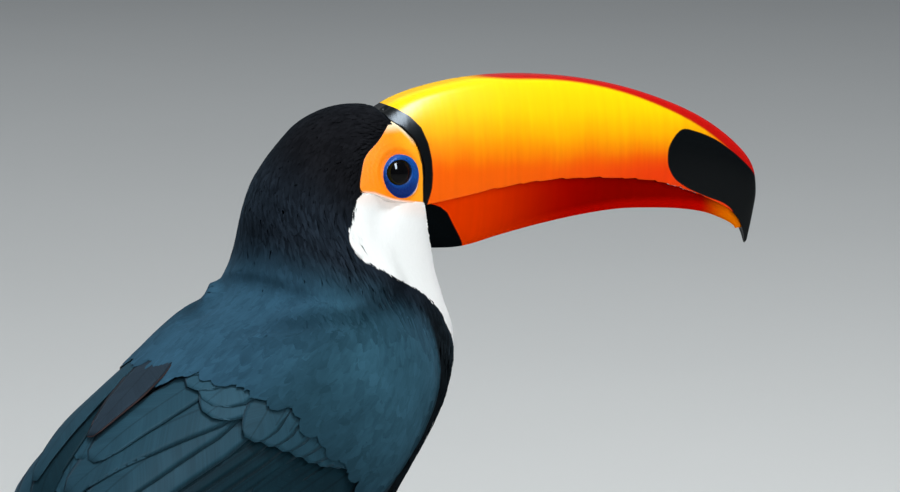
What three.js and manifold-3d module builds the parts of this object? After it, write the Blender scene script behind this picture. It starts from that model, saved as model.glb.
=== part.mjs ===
// A life-size still model of a toco toucan. It grips a short cut length of branch, which a plain
// display stand carries. The body slopes up at the breast, the head is turned to the bird's right,
// and the tail hangs behind the branch.
//
// Millimetres. The bird's own frame has its origin on the neck's axis at the height of the eyes,
// +X the way the body faces, +Y the bird's left and +Z up. The exported group moves that frame so
// that the origin is the centre of the stand's underside.

import * as THREE from "three";
import { mergeVertices } from "three/addons/utils/BufferGeometryUtils.js";
import Module from "manifold-3d";

const wasm = await Module();
wasm.setup();

const { degToRad, clamp } = THREE.MathUtils;

// ---- driving dimensions -------------------------------------------------------------------------

const GAP = 0.3; // clearance that touching pieces keep
const BODY_PITCH = degToRad(30); // slope of the body's axis
const HEAD_TURN = degToRad(26); // turn of the head to the bird's right
const AXIS_DROP = 86; // from eye height down to the body's axis, below the neck

const EYE_X = 31.5; // ahead of the neck's axis, in the head's own frame
const EYE_OUT = 21.2; // from the head's midplane to the eyeball's centre
const EYE_RADIUS = 7.6;
const EYE_FACING = degToRad(15); // how far the eyes look forward of sideways
const LID_RADIUS = 7.7; // middle of the blue ring of skin round the eye
const LID_THICK = 1.7;
const LID_OUT = 4.9; // the ring's middle, out from the eyeball's centre

const FOOT_SPREAD = 24; // from the midplane to each foot
const PERCH_X = -42;
const PERCH_TOP = -214;
const PERCH_RADIUS = 17;
const PERCH_LENGTH = 190;

const BASE_TOP = -284;
const BASE_THICK = 14;
const BASE_LENGTH = 230;
const BASE_WIDTH = 160;
const BASE_X = -34; // centre of the base, from the neck's axis
const ROD_RADIUS = 5;
const ROD_SPREAD = 62; // from the midplane to each rod

const TAIL_PITCH = degToRad(43); // how far the tail points below level
const TAIL_LENGTH = 168; // from the end of the back to the tail's tip
const TAIL_PAIRS = 5; // tail feathers on each side
const TAIL_FEATHER = 26; // width

const TAIL_THICK = 1.5; // of one feather

// ---- solids -------------------------------------------------------------------------------------

// A closed geometry as a solid. One that was laid inside out is turned round.
function solidOf(geometry) {
  const bare = geometry.clone();
  bare.deleteAttribute("normal");
  bare.deleteAttribute("uv");
  const merged = mergeVertices(bare, 1e-4);
  const corners = new Uint32Array(merged.index.array);
  const make = () =>
    new wasm.Manifold(
      new wasm.Mesh({
        numProp: 3,
        vertProperties: merged.attributes.position.array,
        triVerts: corners,
      }),
    );
  const solid = make();
  if (solid.volume() > 0) return solid;
  for (let i = 0; i < corners.length; i += 3) {
    [corners[i + 1], corners[i + 2]] = [corners[i + 2], corners[i + 1]];
  }
  return make();
}

function geometryOf(solid) {
  const mesh = solid.getMesh();
  const position = new THREE.BufferAttribute(mesh.vertProperties, mesh.numProp);
  return new THREE.BufferGeometry()
    .setAttribute("position", position)
    .setIndex(new THREE.BufferAttribute(mesh.triVerts, 1));
}

// The largest closed surface of a solid, without loose scraps or sealed hollows.
function largest(solid) {
  return solid.decompose().sort((a, b) => b.volume() - a.volume())[0];
}

function union(solids) {
  return solids.reduce((a, b) => a.add(b));
}

// A closed skin over rings of equally many points, with a flat or pointed cap at each end. A thin
// vane's rings run out along its top and back along its underside, and both are split alike.
function loft(rings, thin = false) {
  const count = rings[0].length;
  const centre = (ring) =>
    ring
      .reduce((sum, point) => sum.add(point), new THREE.Vector3())
      .divideScalar(count);
  const points = [...rings.flat(), centre(rings[0]), centre(rings.at(-1))];
  const [first, last] = [points.length - 2, points.length - 1];
  const index = [];
  for (let k = 0; k < count; k++) {
    const next = (k + 1) % count;
    for (let r = 0; r + 1 < rings.length; r++) {
      const [a, b, c, d] = [
        r * count + k,
        r * count + next,
        (r + 1) * count + k,
        (r + 1) * count + next,
      ];
      if (thin && k >= count / 2) {
        index.push(a, b, c, b, d, c);
      } else {
        index.push(a, b, d, a, d, c);
      }
    }
    const end = (rings.length - 1) * count;
    index.push(first, next, k, last, end + k, end + next);
  }
  return new THREE.BufferGeometry()
    .setAttribute(
      "position",
      new THREE.Float32BufferAttribute(
        points.flatMap((p) => p.toArray()),
        3,
      ),
    )
    .setIndex(index);
}

// Smooth curves through rows of [knot, value, value, ...]. Past its ends a curve keeps its end row.
function curveOf(rows) {
  const knots = rows.map((row) => row[0]);
  const values = Float32Array.from(rows.flatMap((row) => row.slice(1)));
  const curve = new THREE.CubicInterpolant(knots, values, rows[0].length - 1);
  return (t) => Array.from(curve.evaluate(clamp(t, knots[0], knots.at(-1))));
}

function steps(from, to, count) {
  return Array.from(
    { length: count + 1 },
    (_, i) => from + ((to - from) * i) / count,
  );
}

// A round tube along points, with a radius at each, closed at both ends.
function tube(points, radii, sides) {
  const rings = points.map((point, i) => {
    const before = points[Math.max(0, i - 1)];
    const after = points[Math.min(points.length - 1, i + 1)];
    const along = after.clone().sub(before).normalize();
    const level = Math.abs(along.y) < 0.9;
    const across = new THREE.Vector3(0, level ? 1 : 0, level ? 0 : 1);
    across.cross(along).normalize();
    const over = along.clone().cross(across);
    return steps(0, 2 * Math.PI, sides)
      .slice(0, sides)
      .map((angle) =>
        point
          .clone()
          .addScaledVector(across, radii[i] * Math.cos(angle))
          .addScaledVector(over, radii[i] * Math.sin(angle)),
      );
  });
  return solidOf(loft(rings));
}

// ---- body, neck and head ------------------------------------------------------------------------

// Axis of the torso: distance back from below the neck; reach of the back above it and of the belly
// below it; half-width.
const TORSO = curveOf([
  [18, 48, 71, 54.5],
  [50, 51, 76, 58.5],
  [85, 53, 66, 58],
  [115, 52, 54, 54],
  [140, 46, 40, 45],
  [158, 36, 27, 33],
  [172, 23, 14, 20],
]);

const FORWARD = new THREE.Vector2(Math.cos(BODY_PITCH), Math.sin(BODY_PITCH));
const DORSAL = new THREE.Vector2(-FORWARD.y, FORWARD.x);

function axisPoint(back, lift) {
  return new THREE.Vector2(0, -AXIS_DROP)
    .addScaledVector(FORWARD, -back)
    .addScaledVector(DORSAL, lift);
}

function torsoRow(back) {
  const [dorsal, ventral, half] = TORSO(back);
  return [
    ...axisPoint(back, dorsal).toArray(),
    ...axisPoint(back, -ventral).toArray(),
    half,
    0,
  ];
}

// A point in the midplane of the tail: along it from the end of the back, and above its middle.
function tailLine(along, lift) {
  const [c, s] = [Math.cos(TAIL_PITCH), Math.sin(TAIL_PITCH)];
  return axisPoint(170, 4).add(
    new THREE.Vector2(-along * c - lift * s, -along * s + lift * c),
  );
}

function rumpRow(along, top, bottom, half) {
  return [
    ...tailLine(along, top).toArray(),
    ...tailLine(along, -bottom).toArray(),
    half,
    0,
  ];
}

// Stations from the tail's root to the bill: the back's point x, z and the belly's point x, z in the
// midplane, half-width, and share of the head's turn.
const BODY = curveOf(
  [
    rumpRow(40, 5, 4.5, 15.5),
    rumpRow(20, 11.5, 8.5, 18),
    ...[172, 158, 140, 115, 85, 50, 18].map(torsoRow),
    [-36, -42, 54, -123, 51.5, 0.05],
    [-34.5, -30, 66, -101, 47, 0.2],
    [-33, -16, 67, -82, 42, 0.45],
    [-29, -4, 61, -66, 37.5, 0.72],
    [-23.5, 5, 57.5, -56, 34.5, 0.9],
    [-16.5, 13.6, 55.4, -49.5, 32, 1],
    [-8, 22, 54.6, -44.5, 30, 1],
    [2, 27.2, 54.4, -41.5, 28, 1],
    [12, 29.6, 54.5, -39.8, 26.3, 1],
    [22, 29.8, 55, -38.9, 24.3, 1],
    [32, 29, 56.5, -38.4, 21, 1],
    [43, 27, 60, -37.5, 18.6, 1],
  ].map((row, i) => [i, ...row]),
);
const NECK_CUT = 10.2; // station where the torso meets the neck
const HEAD_CUT = 13.6; // station where the neck meets the head
const BODY_END = 20;
const BODY_SIDES = 28;
const BODY_FULLNESS = 2.15; // 2 is an ellipse, more is squarer

function turned(point, share) {
  return point.applyAxisAngle(
    new THREE.Vector3(0, 0, 1),
    -HEAD_TURN * share,
  );
}

// The body's surface at a station and an angle from the back, positive to the bird's right.
function bodyPoint(station, angle, grow) {
  const [backX, backZ, bellyX, bellyZ, half, share] = BODY(station);
  const reach = new THREE.Vector2(backX - bellyX, backZ - bellyZ);
  const deep = reach.length() / 2;
  reach.normalize();
  const [c, s] = [Math.cos(angle), Math.sin(angle)];
  const round = (value) => Math.sign(value) * Math.abs(value) ** (2 / BODY_FULLNESS);
  const up = (deep + grow) * round(c);
  return turned(
    new THREE.Vector3(
      (backX + bellyX) / 2 + reach.x * up,
      -(half + grow) * round(s),
      (backZ + bellyZ) / 2 + reach.y * up,
    ),
    share,
  );
}

function bodyWhole(grow) {
  const rings = steps(0, BODY_END, 34).map((station) =>
    steps(0, 2 * Math.PI, BODY_SIDES)
      .slice(0, BODY_SIDES)
      .map((angle) => bodyPoint(station, angle, grow)),
  );
  for (const point of rings[0]) {
    point.x -= grow * Math.cos(TAIL_PITCH);
    point.z -= grow * Math.sin(TAIL_PITCH);
  }
  return solidOf(loft(rings));
}

// A thin slab through the body at a station, which parts one piece from the next.
function parting(station) {
  const [backX, backZ, bellyX, bellyZ, , share] = BODY(station);
  const slab = new THREE.BoxGeometry(300, 300, GAP);
  const slope = Math.atan2(backZ - bellyZ, backX - bellyX);
  slab.rotateY(-slope);
  slab.translate((backX + bellyX) / 2, 0, (backZ + bellyZ) / 2);
  slab.rotateZ(-HEAD_TURN * share);
  return solidOf(slab);
}

// ---- the bill's edge on the face ----------------------------------------------------------------

// Side view of the edge where the bill meets the face, from the crown down to the chin, in the
// head's own frame.
const FACE_EDGE = [
  [24, 34],
  [31, 23.5],
  [36.5, 18],
  [41.5, 11],
  [44.6, 0.6],
  [44.4, -14],
  [46.6, -26],
  [50.5, -38.2],
];

// Everything on one side of that edge: ahead of it, or behind it, moved by a clearance.
function faceSide(ahead, clearance) {
  const far = ahead ? 300 : -60;
  const edge = FACE_EDGE.map(([x, z]) => new THREE.Vector2(x + clearance, z));
  const top = 60;
  const outline = [
    new THREE.Vector2(far, top),
    new THREE.Vector2(edge[0].x, top),
    ...edge,
    new THREE.Vector2(edge.at(-1).x, -38.5),
    new THREE.Vector2(far, -38.5),
  ];
  const slab = new THREE.ExtrudeGeometry(new THREE.Shape(outline), {
    depth: 160,
    bevelEnabled: false,
  });
  slab.translate(0, 0, -80);
  slab.rotateX(Math.PI / 2);
  slab.rotateZ(-HEAD_TURN);
  return solidOf(slab);
}

// ---- eyes ---------------------------------------------------------------------------------------

// side is 1 for the bird's right and -1 for its left.
function eyeFrame(side) {
  const centre = turned(new THREE.Vector3(EYE_X - 2, -side * EYE_OUT, 0.8), 1);
  const facing = turned(
    new THREE.Vector3(Math.sin(EYE_FACING), -side * Math.cos(EYE_FACING), 0.05),
    1,
  ).normalize();
  return { centre, facing };
}

function eyeball(side, grow) {
  const { centre } = eyeFrame(side);
  const ball = new THREE.SphereGeometry(EYE_RADIUS + grow, 16, 9);
  ball.translate(...centre.toArray());
  return solidOf(ball);
}

// The raised ring of bare skin that serves as eyelids.
function lidRing(side) {
  const { centre, facing } = eyeFrame(side);
  const ring = new THREE.TorusGeometry(LID_RADIUS, LID_THICK, 6, 18);
  ring.scale(0.97, 1.05, 1);
  const turn = new THREE.Quaternion().setFromUnitVectors(
    new THREE.Vector3(0, 0, 1),
    facing,
  );
  ring.applyQuaternion(turn);
  ring.translate(...centre.clone().addScaledVector(facing, LID_OUT).toArray());
  return solidOf(ring);
}

// ---- bill ---------------------------------------------------------------------------------------

// Stations along the bill in the head's own frame: culmen x, z; cutting edge x, z; keel x, z;
// half-width of the upper and of the lower half.
const BILL = curveOf(
  [
    [22, 24, 34, -15.5, 38, -36, 19.4, 18.4],
    [40.8, 32.9, 44, -15.2, 52, -37.9, 20.6, 19.3],
    [61.9, 38, 60, -12.9, 68.5, -38.2, 20.8, 19],
    [84.7, 40.2, 82, -9.7, 87.8, -34.2, 19.8, 17.6],
    [107.8, 39.6, 104, -7.9, 107, -30.6, 18.2, 15.8],
    [131.2, 36.7, 126, -8.1, 128, -27.6, 16.3, 13.8],
    [154.9, 31.2, 147, -9.8, 148, -26, 14.2, 11.6],
    [179, 22.5, 165, -12.6, 165, -26.5, 11.8, 9.4],
    [197.5, 13, 180.8, -17.4, 182, -28, 9.5, 7.2],
    [212.5, 1.6, 194, -22.6, 196, -30.7, 7.1, 5.2],
    [221.2, -9, 206, -28.4, 206.5, -34.8, 5, 3.2],
    [223.7, -21, 213.2, -34.4, 212, -38, 3.4, 1.7],
    [222.4, -32, 216.6, -41, 213.5, -40.2, 1.9, 0.8],
    [219.6, -45.5, 218.2, -47.2, 214, -41, 0.6, 0.4],
  ].map((row, i) => [i, ...row]),
);
const BILL_END = 13;
const LOWER_END = 11.7; // the lower half ends behind the hook
const TOOTH_SPACING = 0.5; // in stations
const BILL_STEPS = [0, 0.7, 1.4, ...steps(2, 9, 28), 9.5, 10, 10.5, 11, 11.6, 12.2, 12.7, 13];
const TOOTH_HEIGHT = 0.55;

function cuttingEdge(station) {
  const [, , x, z] = BILL(station);
  const phase = ((station / TOOTH_SPACING) % 1) * 2;
  const inMouth = station > 2 && station < 9;
  return new THREE.Vector2(x, z + (inMouth && phase >= 1 ? TOOTH_HEIGHT : 0));
}

// One arch of the bill, from its flat mouth side at h = 0 to its ridge at h = 1.
function billRing(mouth, ridge, half, corners) {
  const arch = steps(0, Math.PI / 2, corners).map((angle) => ({
    height: Math.sin(angle) ** 0.95,
    out: Math.cos(angle) ** 0.62,
  }));
  const at = (height, y) =>
    turned(
      new THREE.Vector3(
        mouth.x + (ridge.x - mouth.x) * height,
        y,
        mouth.y + (ridge.y - mouth.y) * height,
      ),
      1,
    );
  return [
    ...arch.map(({ height, out }) => at(height, -half * out)),
    ...arch
      .slice(0, -1)
      .reverse()
      .map(({ height, out }) => at(height, half * out)),
    at(0, 0),
  ];
}

function upperBill() {
  const rings = BILL_STEPS.map((station) => {
    const [x, z, , , , , half] = BILL(station);
    return billRing(cuttingEdge(station), new THREE.Vector2(x, z), half, 6);
  });
  return solidOf(loft(rings));
}

function lowerBill() {
  const rings = BILL_STEPS.filter((s) => s <= LOWER_END).map((station) => {
    const [, , , , x, z, , half] = BILL(station);
    const edge = cuttingEdge(station);
    const ahead = cuttingEdge(station + 0.3);
    const away = new THREE.Vector2(ahead.y - edge.y, edge.x - ahead.x).normalize();
    return billRing(
      edge.addScaledVector(away, GAP),
      new THREE.Vector2(x, z),
      half,
      5,
    );
  });
  return solidOf(loft(rings));
}

function nostril(side) {
  const pit = new THREE.SphereGeometry(2.1, 10, 8);
  pit.scale(1.4, 0.8, 1);
  pit.translate(31.5, side * 6.5, 30.2);
  pit.rotateZ(-HEAD_TURN);
  return solidOf(pit);
}

// ---- feathers -----------------------------------------------------------------------------------

// Outlines of vanes in the wing, the tail and the coverts, from root to tip: share of the vane's
// length, and of its full width.
const LONG_VANE = [
  [0, 0.5],
  [0.3, 0.94],
  [0.62, 1],
  [0.9, 0.82],
  [1, 0.28],
];
const TAIL_VANE = [
  [0, 0.5],
  [0.5, 1],
  [0.93, 0.9],
  [1, 0.4],
];
const SHORT_VANE = [
  [0, 0.5],
  [0.45, 1],
  [0.84, 0.84],
  [1, 0.3],
];

// A feather as a tapering vane. top(along, across, sink) sets a point of its upper face on the tier,
// and under(along, across, sink) the point of its lower face below that. Its exposed edge stands
// higher than its hidden one by twice the tilt, and its root sinks in by rootSink more.
function vane(top, under, { outline, root, tip, width, sink, tilt = 0, rootSink = 2.5 }) {
  const start = new THREE.Vector2(...root);
  const along = new THREE.Vector2(...tip).sub(start);
  const across = new THREE.Vector2(-along.y, along.x).normalize();
  const edges = width > 14 ? [-1, 0, 1] : [-1, 1];
  const rings = outline.map(([share, wide]) => {
    const depth = sink + rootSink * (1 - share) ** 2;
    const point = (face, edge) => {
      const spot = start
        .clone()
        .addScaledVector(along, share)
        .addScaledVector(across, (edge * wide * width) / 2);
      return face(spot.x, spot.y, depth - tilt * edge);
    };
    return [
      ...edges.map((edge) => point(top, edge)),
      ...edges.toReversed().map((edge) => point(under, edge)),
    ];
  });
  return solidOf(loft(rings, true));
}

// ---- wings --------------------------------------------------------------------------------------

const WRAP = 55; // radius that turns millimetres round the body into an angle

// Distance back along the body, and the body's station there.
const STATION_AT = curveOf([
  [-34, 11],
  [-21, 10],
  [-6, 9],
  [18, 8],
  [50, 7],
  [85, 6],
  [115, 5],
  [140, 4],
  [158, 3],
  [172, 2],
]);

// A point on the flank: back along the body's axis, round from the back's midline towards one side,
// and out from the torso's surface. side is 1 for the bird's right.
function flankPoint(back, around, out, side) {
  const [station] = STATION_AT(back);
  const point = bodyPoint(station, (side * around) / WRAP, out);
  const past = Math.max(0, back - 172);
  point.x -= FORWARD.x * past;
  point.z -= FORWARD.y * past;
  return point;
}

// Outline of the folded wing: back along the body; its upper and its lower border round the body;
// how far its middle stands out.
const WING = curveOf([
  [-30, 84, 100, 0.5],
  [-24, 68, 102, 1.6],
  [-14, 54, 105, 3.8],
  [0, 36, 109, 6.4],
  [20, 21, 107, 8.2],
  [40, 16, 104, 7.4],
  [60, 12, 99, 6.2],
  [100, 9, 95, 5.4],
  [130, 8, 87, 8.5],
  [155, 9, 76, 15],
  [172, 14, 64, 18],
  [190, 28, 50, 20],
  [206, 34, 46, 21],
]);

const WING_DEEP = 9;

// How far the folded wing's outer surface stands off the body.
function wingTop(back, around) {
  const [upper, lower, proud] = WING(back);
  const share = clamp((around - upper) / (lower - upper), 0, 1);
  return GAP + proud * (0.4 + 0.6 * Math.sin(Math.PI * share) ** 0.8);
}

// The flesh and the bases of the feathers, under the coverts.
function wingCore(side) {
  const rings = [-24, -19, -10, 2, 20, 42, 66, 88, 106, 112].map((back) => {
    const [upper, lower] = WING(back);
    const inset = back > 100 ? 8 : 2;
    const across = steps(upper + inset, lower - inset, 6);
    const drop = back > 108 ? 4 : 1.7;
    const top = across.map((around) =>
      flankPoint(back, around, Math.max(0.8, wingTop(back, around) - drop), side),
    );
    const under = across.toReversed().map((around) => flankPoint(back, around, -3, side));
    return [...top, ...under];
  });
  return solidOf(loft(rings, true));
}

// The tiers of the folded wing, from the lowest to the uppermost: how many feathers, how wide, how
// far under the wing's outer surface and how steeply one lies over the next.
const TIERS = {
  primaries: { count: 6, outline: LONG_VANE, width: 19, sink: 2.9, tilt: 1.5 },
  secondaries: { count: 6, outline: LONG_VANE, width: 26, sink: 2.4, tilt: 2 },
  tertials: { count: 3, outline: LONG_VANE, width: 26, sink: 0.9, tilt: 1 },
  greater_coverts: { count: 6, outline: SHORT_VANE, width: 21, sink: 0.9, tilt: 1.4 },
  median_coverts: { count: 5, outline: SHORT_VANE, width: 21, sink: 0.3, tilt: 1.1 },
  scapulars: { count: 5, outline: SHORT_VANE, width: 25, sink: 0, tilt: 0.5 },
};

// Root and tip of a feather, each as [back, around].
function rootAndTip(tier, i) {
  switch (tier) {
    case "primaries":
      return [
        [50 + 8 * i, 84 - 5 * i],
        [146 + 20 * i - 1.7 * i * i, 80 - 7.2 * i],
      ];
    case "secondaries":
      return [
        [30 + 7 * i, 83 - 8.6 * i],
        [122 + 6 * i, 82 - 9 * i],
      ];
    case "tertials":
      return [
        [72 + 4 * i, 33 - 6 * i],
        [152 + 6 * i, 32 - 7.5 * i],
      ];
    case "greater_coverts":
      return [
        [16 + 6 * i, 92 - 10.5 * i],
        [60 + 6.6 * i, 92 - 12 * i],
      ];
    case "median_coverts":
      return [
        [-8 + 6.6 * i, 92 - 11 * i],
        [30 + 6.6 * i, 96 - 13 * i],
      ];
    default:
      return [
        [4 + 13 * i, 34 - 4 * i],
        [56 + 17 * i, 26 - 2.4 * i],
      ];
  }
}

// The folded feathers reach down to the body, but are no thicker than WING_DEEP where they stand
// free of it.
function wing(side) {
  const top = (back, around, sink) =>
    flankPoint(back, around, Math.max(0.2, wingTop(back, around) - sink), side);
  const under = (back, around) =>
    flankPoint(back, around, Math.max(-0.6, wingTop(back, around) - WING_DEEP), side);
  const vanes = Object.entries(TIERS).flatMap(([tier, size]) =>
    Array.from({ length: size.count }, (_, i) => {
      const [root, tip] = rootAndTip(tier, i);
      return vane(top, under, { root, tip, ...size });
    }),
  );
  return union([wingCore(side), ...vanes]);
}

// ---- tail ---------------------------------------------------------------------------------------

// A point of the tail: along it from the end of the back, across towards one side, and below the
// upper face.
function tailPoint(along, across, sink) {
  const { x, y } = tailLine(along, 2.6 - sink - 0.002 * across * across);
  return new THREE.Vector3(x, across, y);
}

function tailCore() {
  const rings = [34, 48, 62, 72].map((along, i) => {
    const [half, top, bottom] = [
      [15, 0.6, 6.5],
      [16, 0.8, 6.2],
      [16.5, 1.2, 5.6],
      [14, 2, 4],
    ][i];
    const across = steps(-half, half, 4);
    return [
      ...across.map((y) => tailPoint(along, y, top)),
      ...across.toReversed().map((y) => tailPoint(along, y, bottom)),
    ];
  });
  return solidOf(loft(rings, true));
}

// Tail feathers in pairs, the middle pair on top, with the white coverts over their roots and the
// red ones under them.
function tail() {
  const vanes = [];
  const add = (size) => {
    const under = (along, across, sink) => tailPoint(along, across, sink + TAIL_THICK);
    vanes.push(vane(tailPoint, under, size));
  };
  for (const side of [1, -1]) {
    for (let pair = 0; pair < TAIL_PAIRS; pair++) {
      add({
        outline: TAIL_VANE,
        root: [36, side * (3 + 1.8 * pair)],
        tip: [TAIL_LENGTH - 2.2 * pair, side * (8 + 2.8 * pair)],
        width: TAIL_FEATHER,
        sink: pair + (side > 0 ? 0 : 0.5),
        rootSink: 0.8,
      });
    }
    for (let i = 0; i < 3; i++) {
      const lane = side * (4 + 4.6 * i);
      add({
        outline: SHORT_VANE,
        root: [34, lane * 0.85],
        tip: [82 - 6 * i, lane * 1.1],
        width: 14,
        sink: -2.4 + 0.8 * i,
        rootSink: 1.2,
      });
      add({
        outline: SHORT_VANE,
        root: [34, lane * 0.85],
        tip: [92 - 7 * i, lane * 1.1],
        width: 14,
        sink: 7.2 - 0.7 * i,
        rootSink: -1.2,
      });
    }
  }
  return union([tailCore(), ...vanes]);
}

// ---- legs, feet and claws -----------------------------------------------------------------------

const PERCH_Z = PERCH_TOP - PERCH_RADIUS;
const FOOT_Z = PERCH_TOP + 5;

function bird(x, y, z) {
  return new THREE.Vector3(x, y, z);
}

function thigh(side) {
  const y = -side * FOOT_SPREAD;
  return tube(
    [bird(-48, y, -150), bird(-60, y, -170), bird(-67, y, -182), bird(-70, y, -190), bird(-69, y, -196)],
    [18, 18, 15, 11, 6],
    12,
  );
}

// Midplane points x, z that the shank runs through, from the heel down.
const SHANK = [
  [-71, -184],
  [-65, -191],
  [-54, -201],
];

function tarsus(side) {
  const y = -side * FOOT_SPREAD;
  return tube(
    [...SHANK.map(([x, z]) => bird(x, y, z)), bird(PERCH_X - 2, y, FOOT_Z)],
    [4.2, 3.9, 3.9, 4.4],
    8,
  );
}

// Toes by name: degrees round the branch that the toe ends at, forward positive; how far its end
// stands to the outside of the foot; radius at the root and at the end.
const TOES = {
  inner_front: [78, -5, 3.9, 3],
  outer_front: [104, 5.5, 4.1, 3],
  inner_back: [-62, -7.5, 3.6, 2.8],
  outer_back: [-90, 6, 3.9, 2.9],
};

function gripPoint(angle, reach, y) {
  const turn = degToRad(angle);
  return bird(
    PERCH_X + (PERCH_RADIUS + reach) * Math.sin(turn),
    y,
    PERCH_Z + (PERCH_RADIUS + reach) * Math.cos(turn),
  );
}

function toe(side, [end, out, root, tip]) {
  const shares = steps(0, 1, 4);
  return tube(
    shares.map((share) =>
      gripPoint(
        end * share,
        root + (tip - root) * share - 0.2,
        -side * (FOOT_SPREAD + out * Math.sin((share * Math.PI) / 2)),
      ),
    ),
    shares.map((share) => root + (tip - root) * share),
    6,
  );
}

function foot(side) {
  const pad = new THREE.SphereGeometry(6, 10, 6);
  pad.scale(1.15, 1.1, 0.85);
  pad.translate(PERCH_X, -side * FOOT_SPREAD, PERCH_TOP + 3.6);
  return union([solidOf(pad), ...Object.values(TOES).map((size) => toe(side, size))]);
}

function claw(side, [end, out, , tip]) {
  const turn = Math.sign(end);
  const shares = steps(0, 1, 5);
  const radii = shares.map((share) => tip * 0.72 * (1 - share) ** 0.75 + 0.3);
  return tube(
    shares.map((share, i) =>
      gripPoint(
        end + turn * (9.5 + 26 * share),
        radii[i] + 0.45 + 1.3 * Math.sin(Math.PI * share),
        -side * (FOOT_SPREAD + out),
      ),
    ),
    radii,
    5,
  );
}

// ---- branch and stand ---------------------------------------------------------------------------

function branch(grow) {
  const wander = (y) => 1.6 * Math.sin(y / 21) + 0.8 * Math.sin(y / 9 + 1);
  const underFoot = (y) => clamp((Math.abs(Math.abs(y) - FOOT_SPREAD) - 14) / 20, 0, 1);
  const rings = steps(-PERCH_LENGTH / 2, PERCH_LENGTH / 2, 13).map((y) =>
    steps(0, 2 * Math.PI, 16)
      .slice(0, 16)
      .map((angle) => {
        const knob = 0.9 * Math.sin(3 * angle + y / 17) * underFoot(y);
        const radius = PERCH_RADIUS + grow + knob + 0.35 * wander(y) * underFoot(y);
        return bird(
          PERCH_X + radius * Math.sin(angle),
          y,
          PERCH_Z + radius * Math.cos(angle),
        );
      }),
  );
  return solidOf(loft(rings));
}

const SOCKET_DEPTH = 8; // how far a rod goes up into the branch

function rod(side, grow) {
  const top = PERCH_Z - PERCH_RADIUS + SOCKET_DEPTH + grow;
  const bottom = BASE_TOP + GAP;
  const shaft = new THREE.CylinderGeometry(
    ROD_RADIUS + grow,
    ROD_RADIUS + grow,
    top - bottom,
    16,
  );
  shaft.rotateX(Math.PI / 2);
  shaft.translate(PERCH_X, side * ROD_SPREAD, (top + bottom) / 2);
  const collar = new THREE.CylinderGeometry(8, 11, 5, 16);
  collar.rotateX(Math.PI / 2);
  collar.translate(PERCH_X, side * ROD_SPREAD, bottom + 2.5);
  return solidOf(shaft).add(solidOf(collar));
}

function base() {
  const [x, y, corner] = [BASE_LENGTH / 2 - 2, BASE_WIDTH / 2 - 2, 16];
  const outline = new THREE.Shape()
    .moveTo(x - corner, -y)
    .absarc(x - corner, -y + corner, corner, -Math.PI / 2, 0)
    .absarc(x - corner, y - corner, corner, 0, Math.PI / 2)
    .absarc(-x + corner, y - corner, corner, Math.PI / 2, Math.PI)
    .absarc(-x + corner, -y + corner, corner, Math.PI, 1.5 * Math.PI);
  const slab = new THREE.ExtrudeGeometry(outline, {
    depth: BASE_THICK - 4,
    bevelThickness: 2,
    bevelSize: 2,
    bevelSegments: 1,
    curveSegments: 4,
  });
  slab.translate(BASE_X, 0, BASE_TOP - BASE_THICK + 2);
  return solidOf(slab);
}

// ---- the pieces ---------------------------------------------------------------------------------

const finishes = {
  black_plumage: new THREE.MeshStandardMaterial({ color: 0x14181d, roughness: 0.75 }),
  bill: new THREE.MeshStandardMaterial({ color: 0xf28a12, roughness: 0.35 }),
  lower_bill: new THREE.MeshStandardMaterial({ color: 0xc8280c, roughness: 0.35 }),
  eye: new THREE.MeshStandardMaterial({ color: 0x120c08, roughness: 0.08 }),
  leg_skin: new THREE.MeshStandardMaterial({ color: 0x5d7fa3, roughness: 0.55 }),
  claw: new THREE.MeshStandardMaterial({ color: 0x17171a, roughness: 0.4 }),
  bark: new THREE.MeshStandardMaterial({ color: 0x5a4636, roughness: 0.9 }),
  stand: new THREE.MeshStandardMaterial({ color: 0x2b2b2d, roughness: 0.5 }),
};

const toucan = new THREE.Group();
toucan.position.set(-BASE_X, 0, BASE_THICK - BASE_TOP);

function place(name, solid, finish) {
  const mesh = new THREE.Mesh(geometryOf(largest(solid)), finishes[finish]);
  mesh.name = name;
  toucan.add(mesh);
}

const lids = union([lidRing(1), lidRing(-1)]);
const sockets = union([eyeball(1, GAP), eyeball(-1, GAP)]);
const whole = bodyWhole(0).add(lids).subtract(sockets).subtract(faceSide(true, -GAP));
const parted = whole
  .subtract(parting(NECK_CUT))
  .subtract(parting(HEAD_CUT))
  .decompose()
  .sort((a, b) => b.volume() - a.volume())
  .slice(0, 3)
  .sort((a, b) => a.boundingBox().max[2] - b.boundingBox().max[2]);
const [torso, neck, head] = parted;
place("torso", torso, "black_plumage");
place("neck", neck, "black_plumage");
place("head", head, "black_plumage");

const face = faceSide(false, GAP);
const pits = union([nostril(1), nostril(-1)]);
place("bill_upper", upperBill().subtract(face).subtract(pits), "bill");
place("bill_lower", lowerBill().subtract(face), "lower_bill");

const bodyRoom = bodyWhole(GAP);
const perch = branch(0);
const perchRoom = branch(GAP);

for (const [name, side] of Object.entries({ right: 1, left: -1 })) {
  place(`eye_${name}`, eyeball(side, 0), "eye");
  place(`wing_${name}`, wing(side).subtract(bodyRoom), "black_plumage");

  const upperLeg = thigh(side);
  const shank = tarsus(side).subtract(bodyRoom);
  const footSolid = foot(side).subtract(perchRoom);
  const legCut = new THREE.BoxGeometry(60, 60, GAP);
  place(`thigh_${name}`, upperLeg.subtract(bodyRoom).subtract(tarsusRoom(side)), "black_plumage");
  place(`tarsus_${name}`, shank.subtract(footRoom(side)), "leg_skin");
  place(`foot_${name}`, footSolid, "leg_skin");
  for (const [which, size] of Object.entries(TOES)) {
    place(`claw_${name}_${which}`, claw(side, size), "claw");
  }
}

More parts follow.
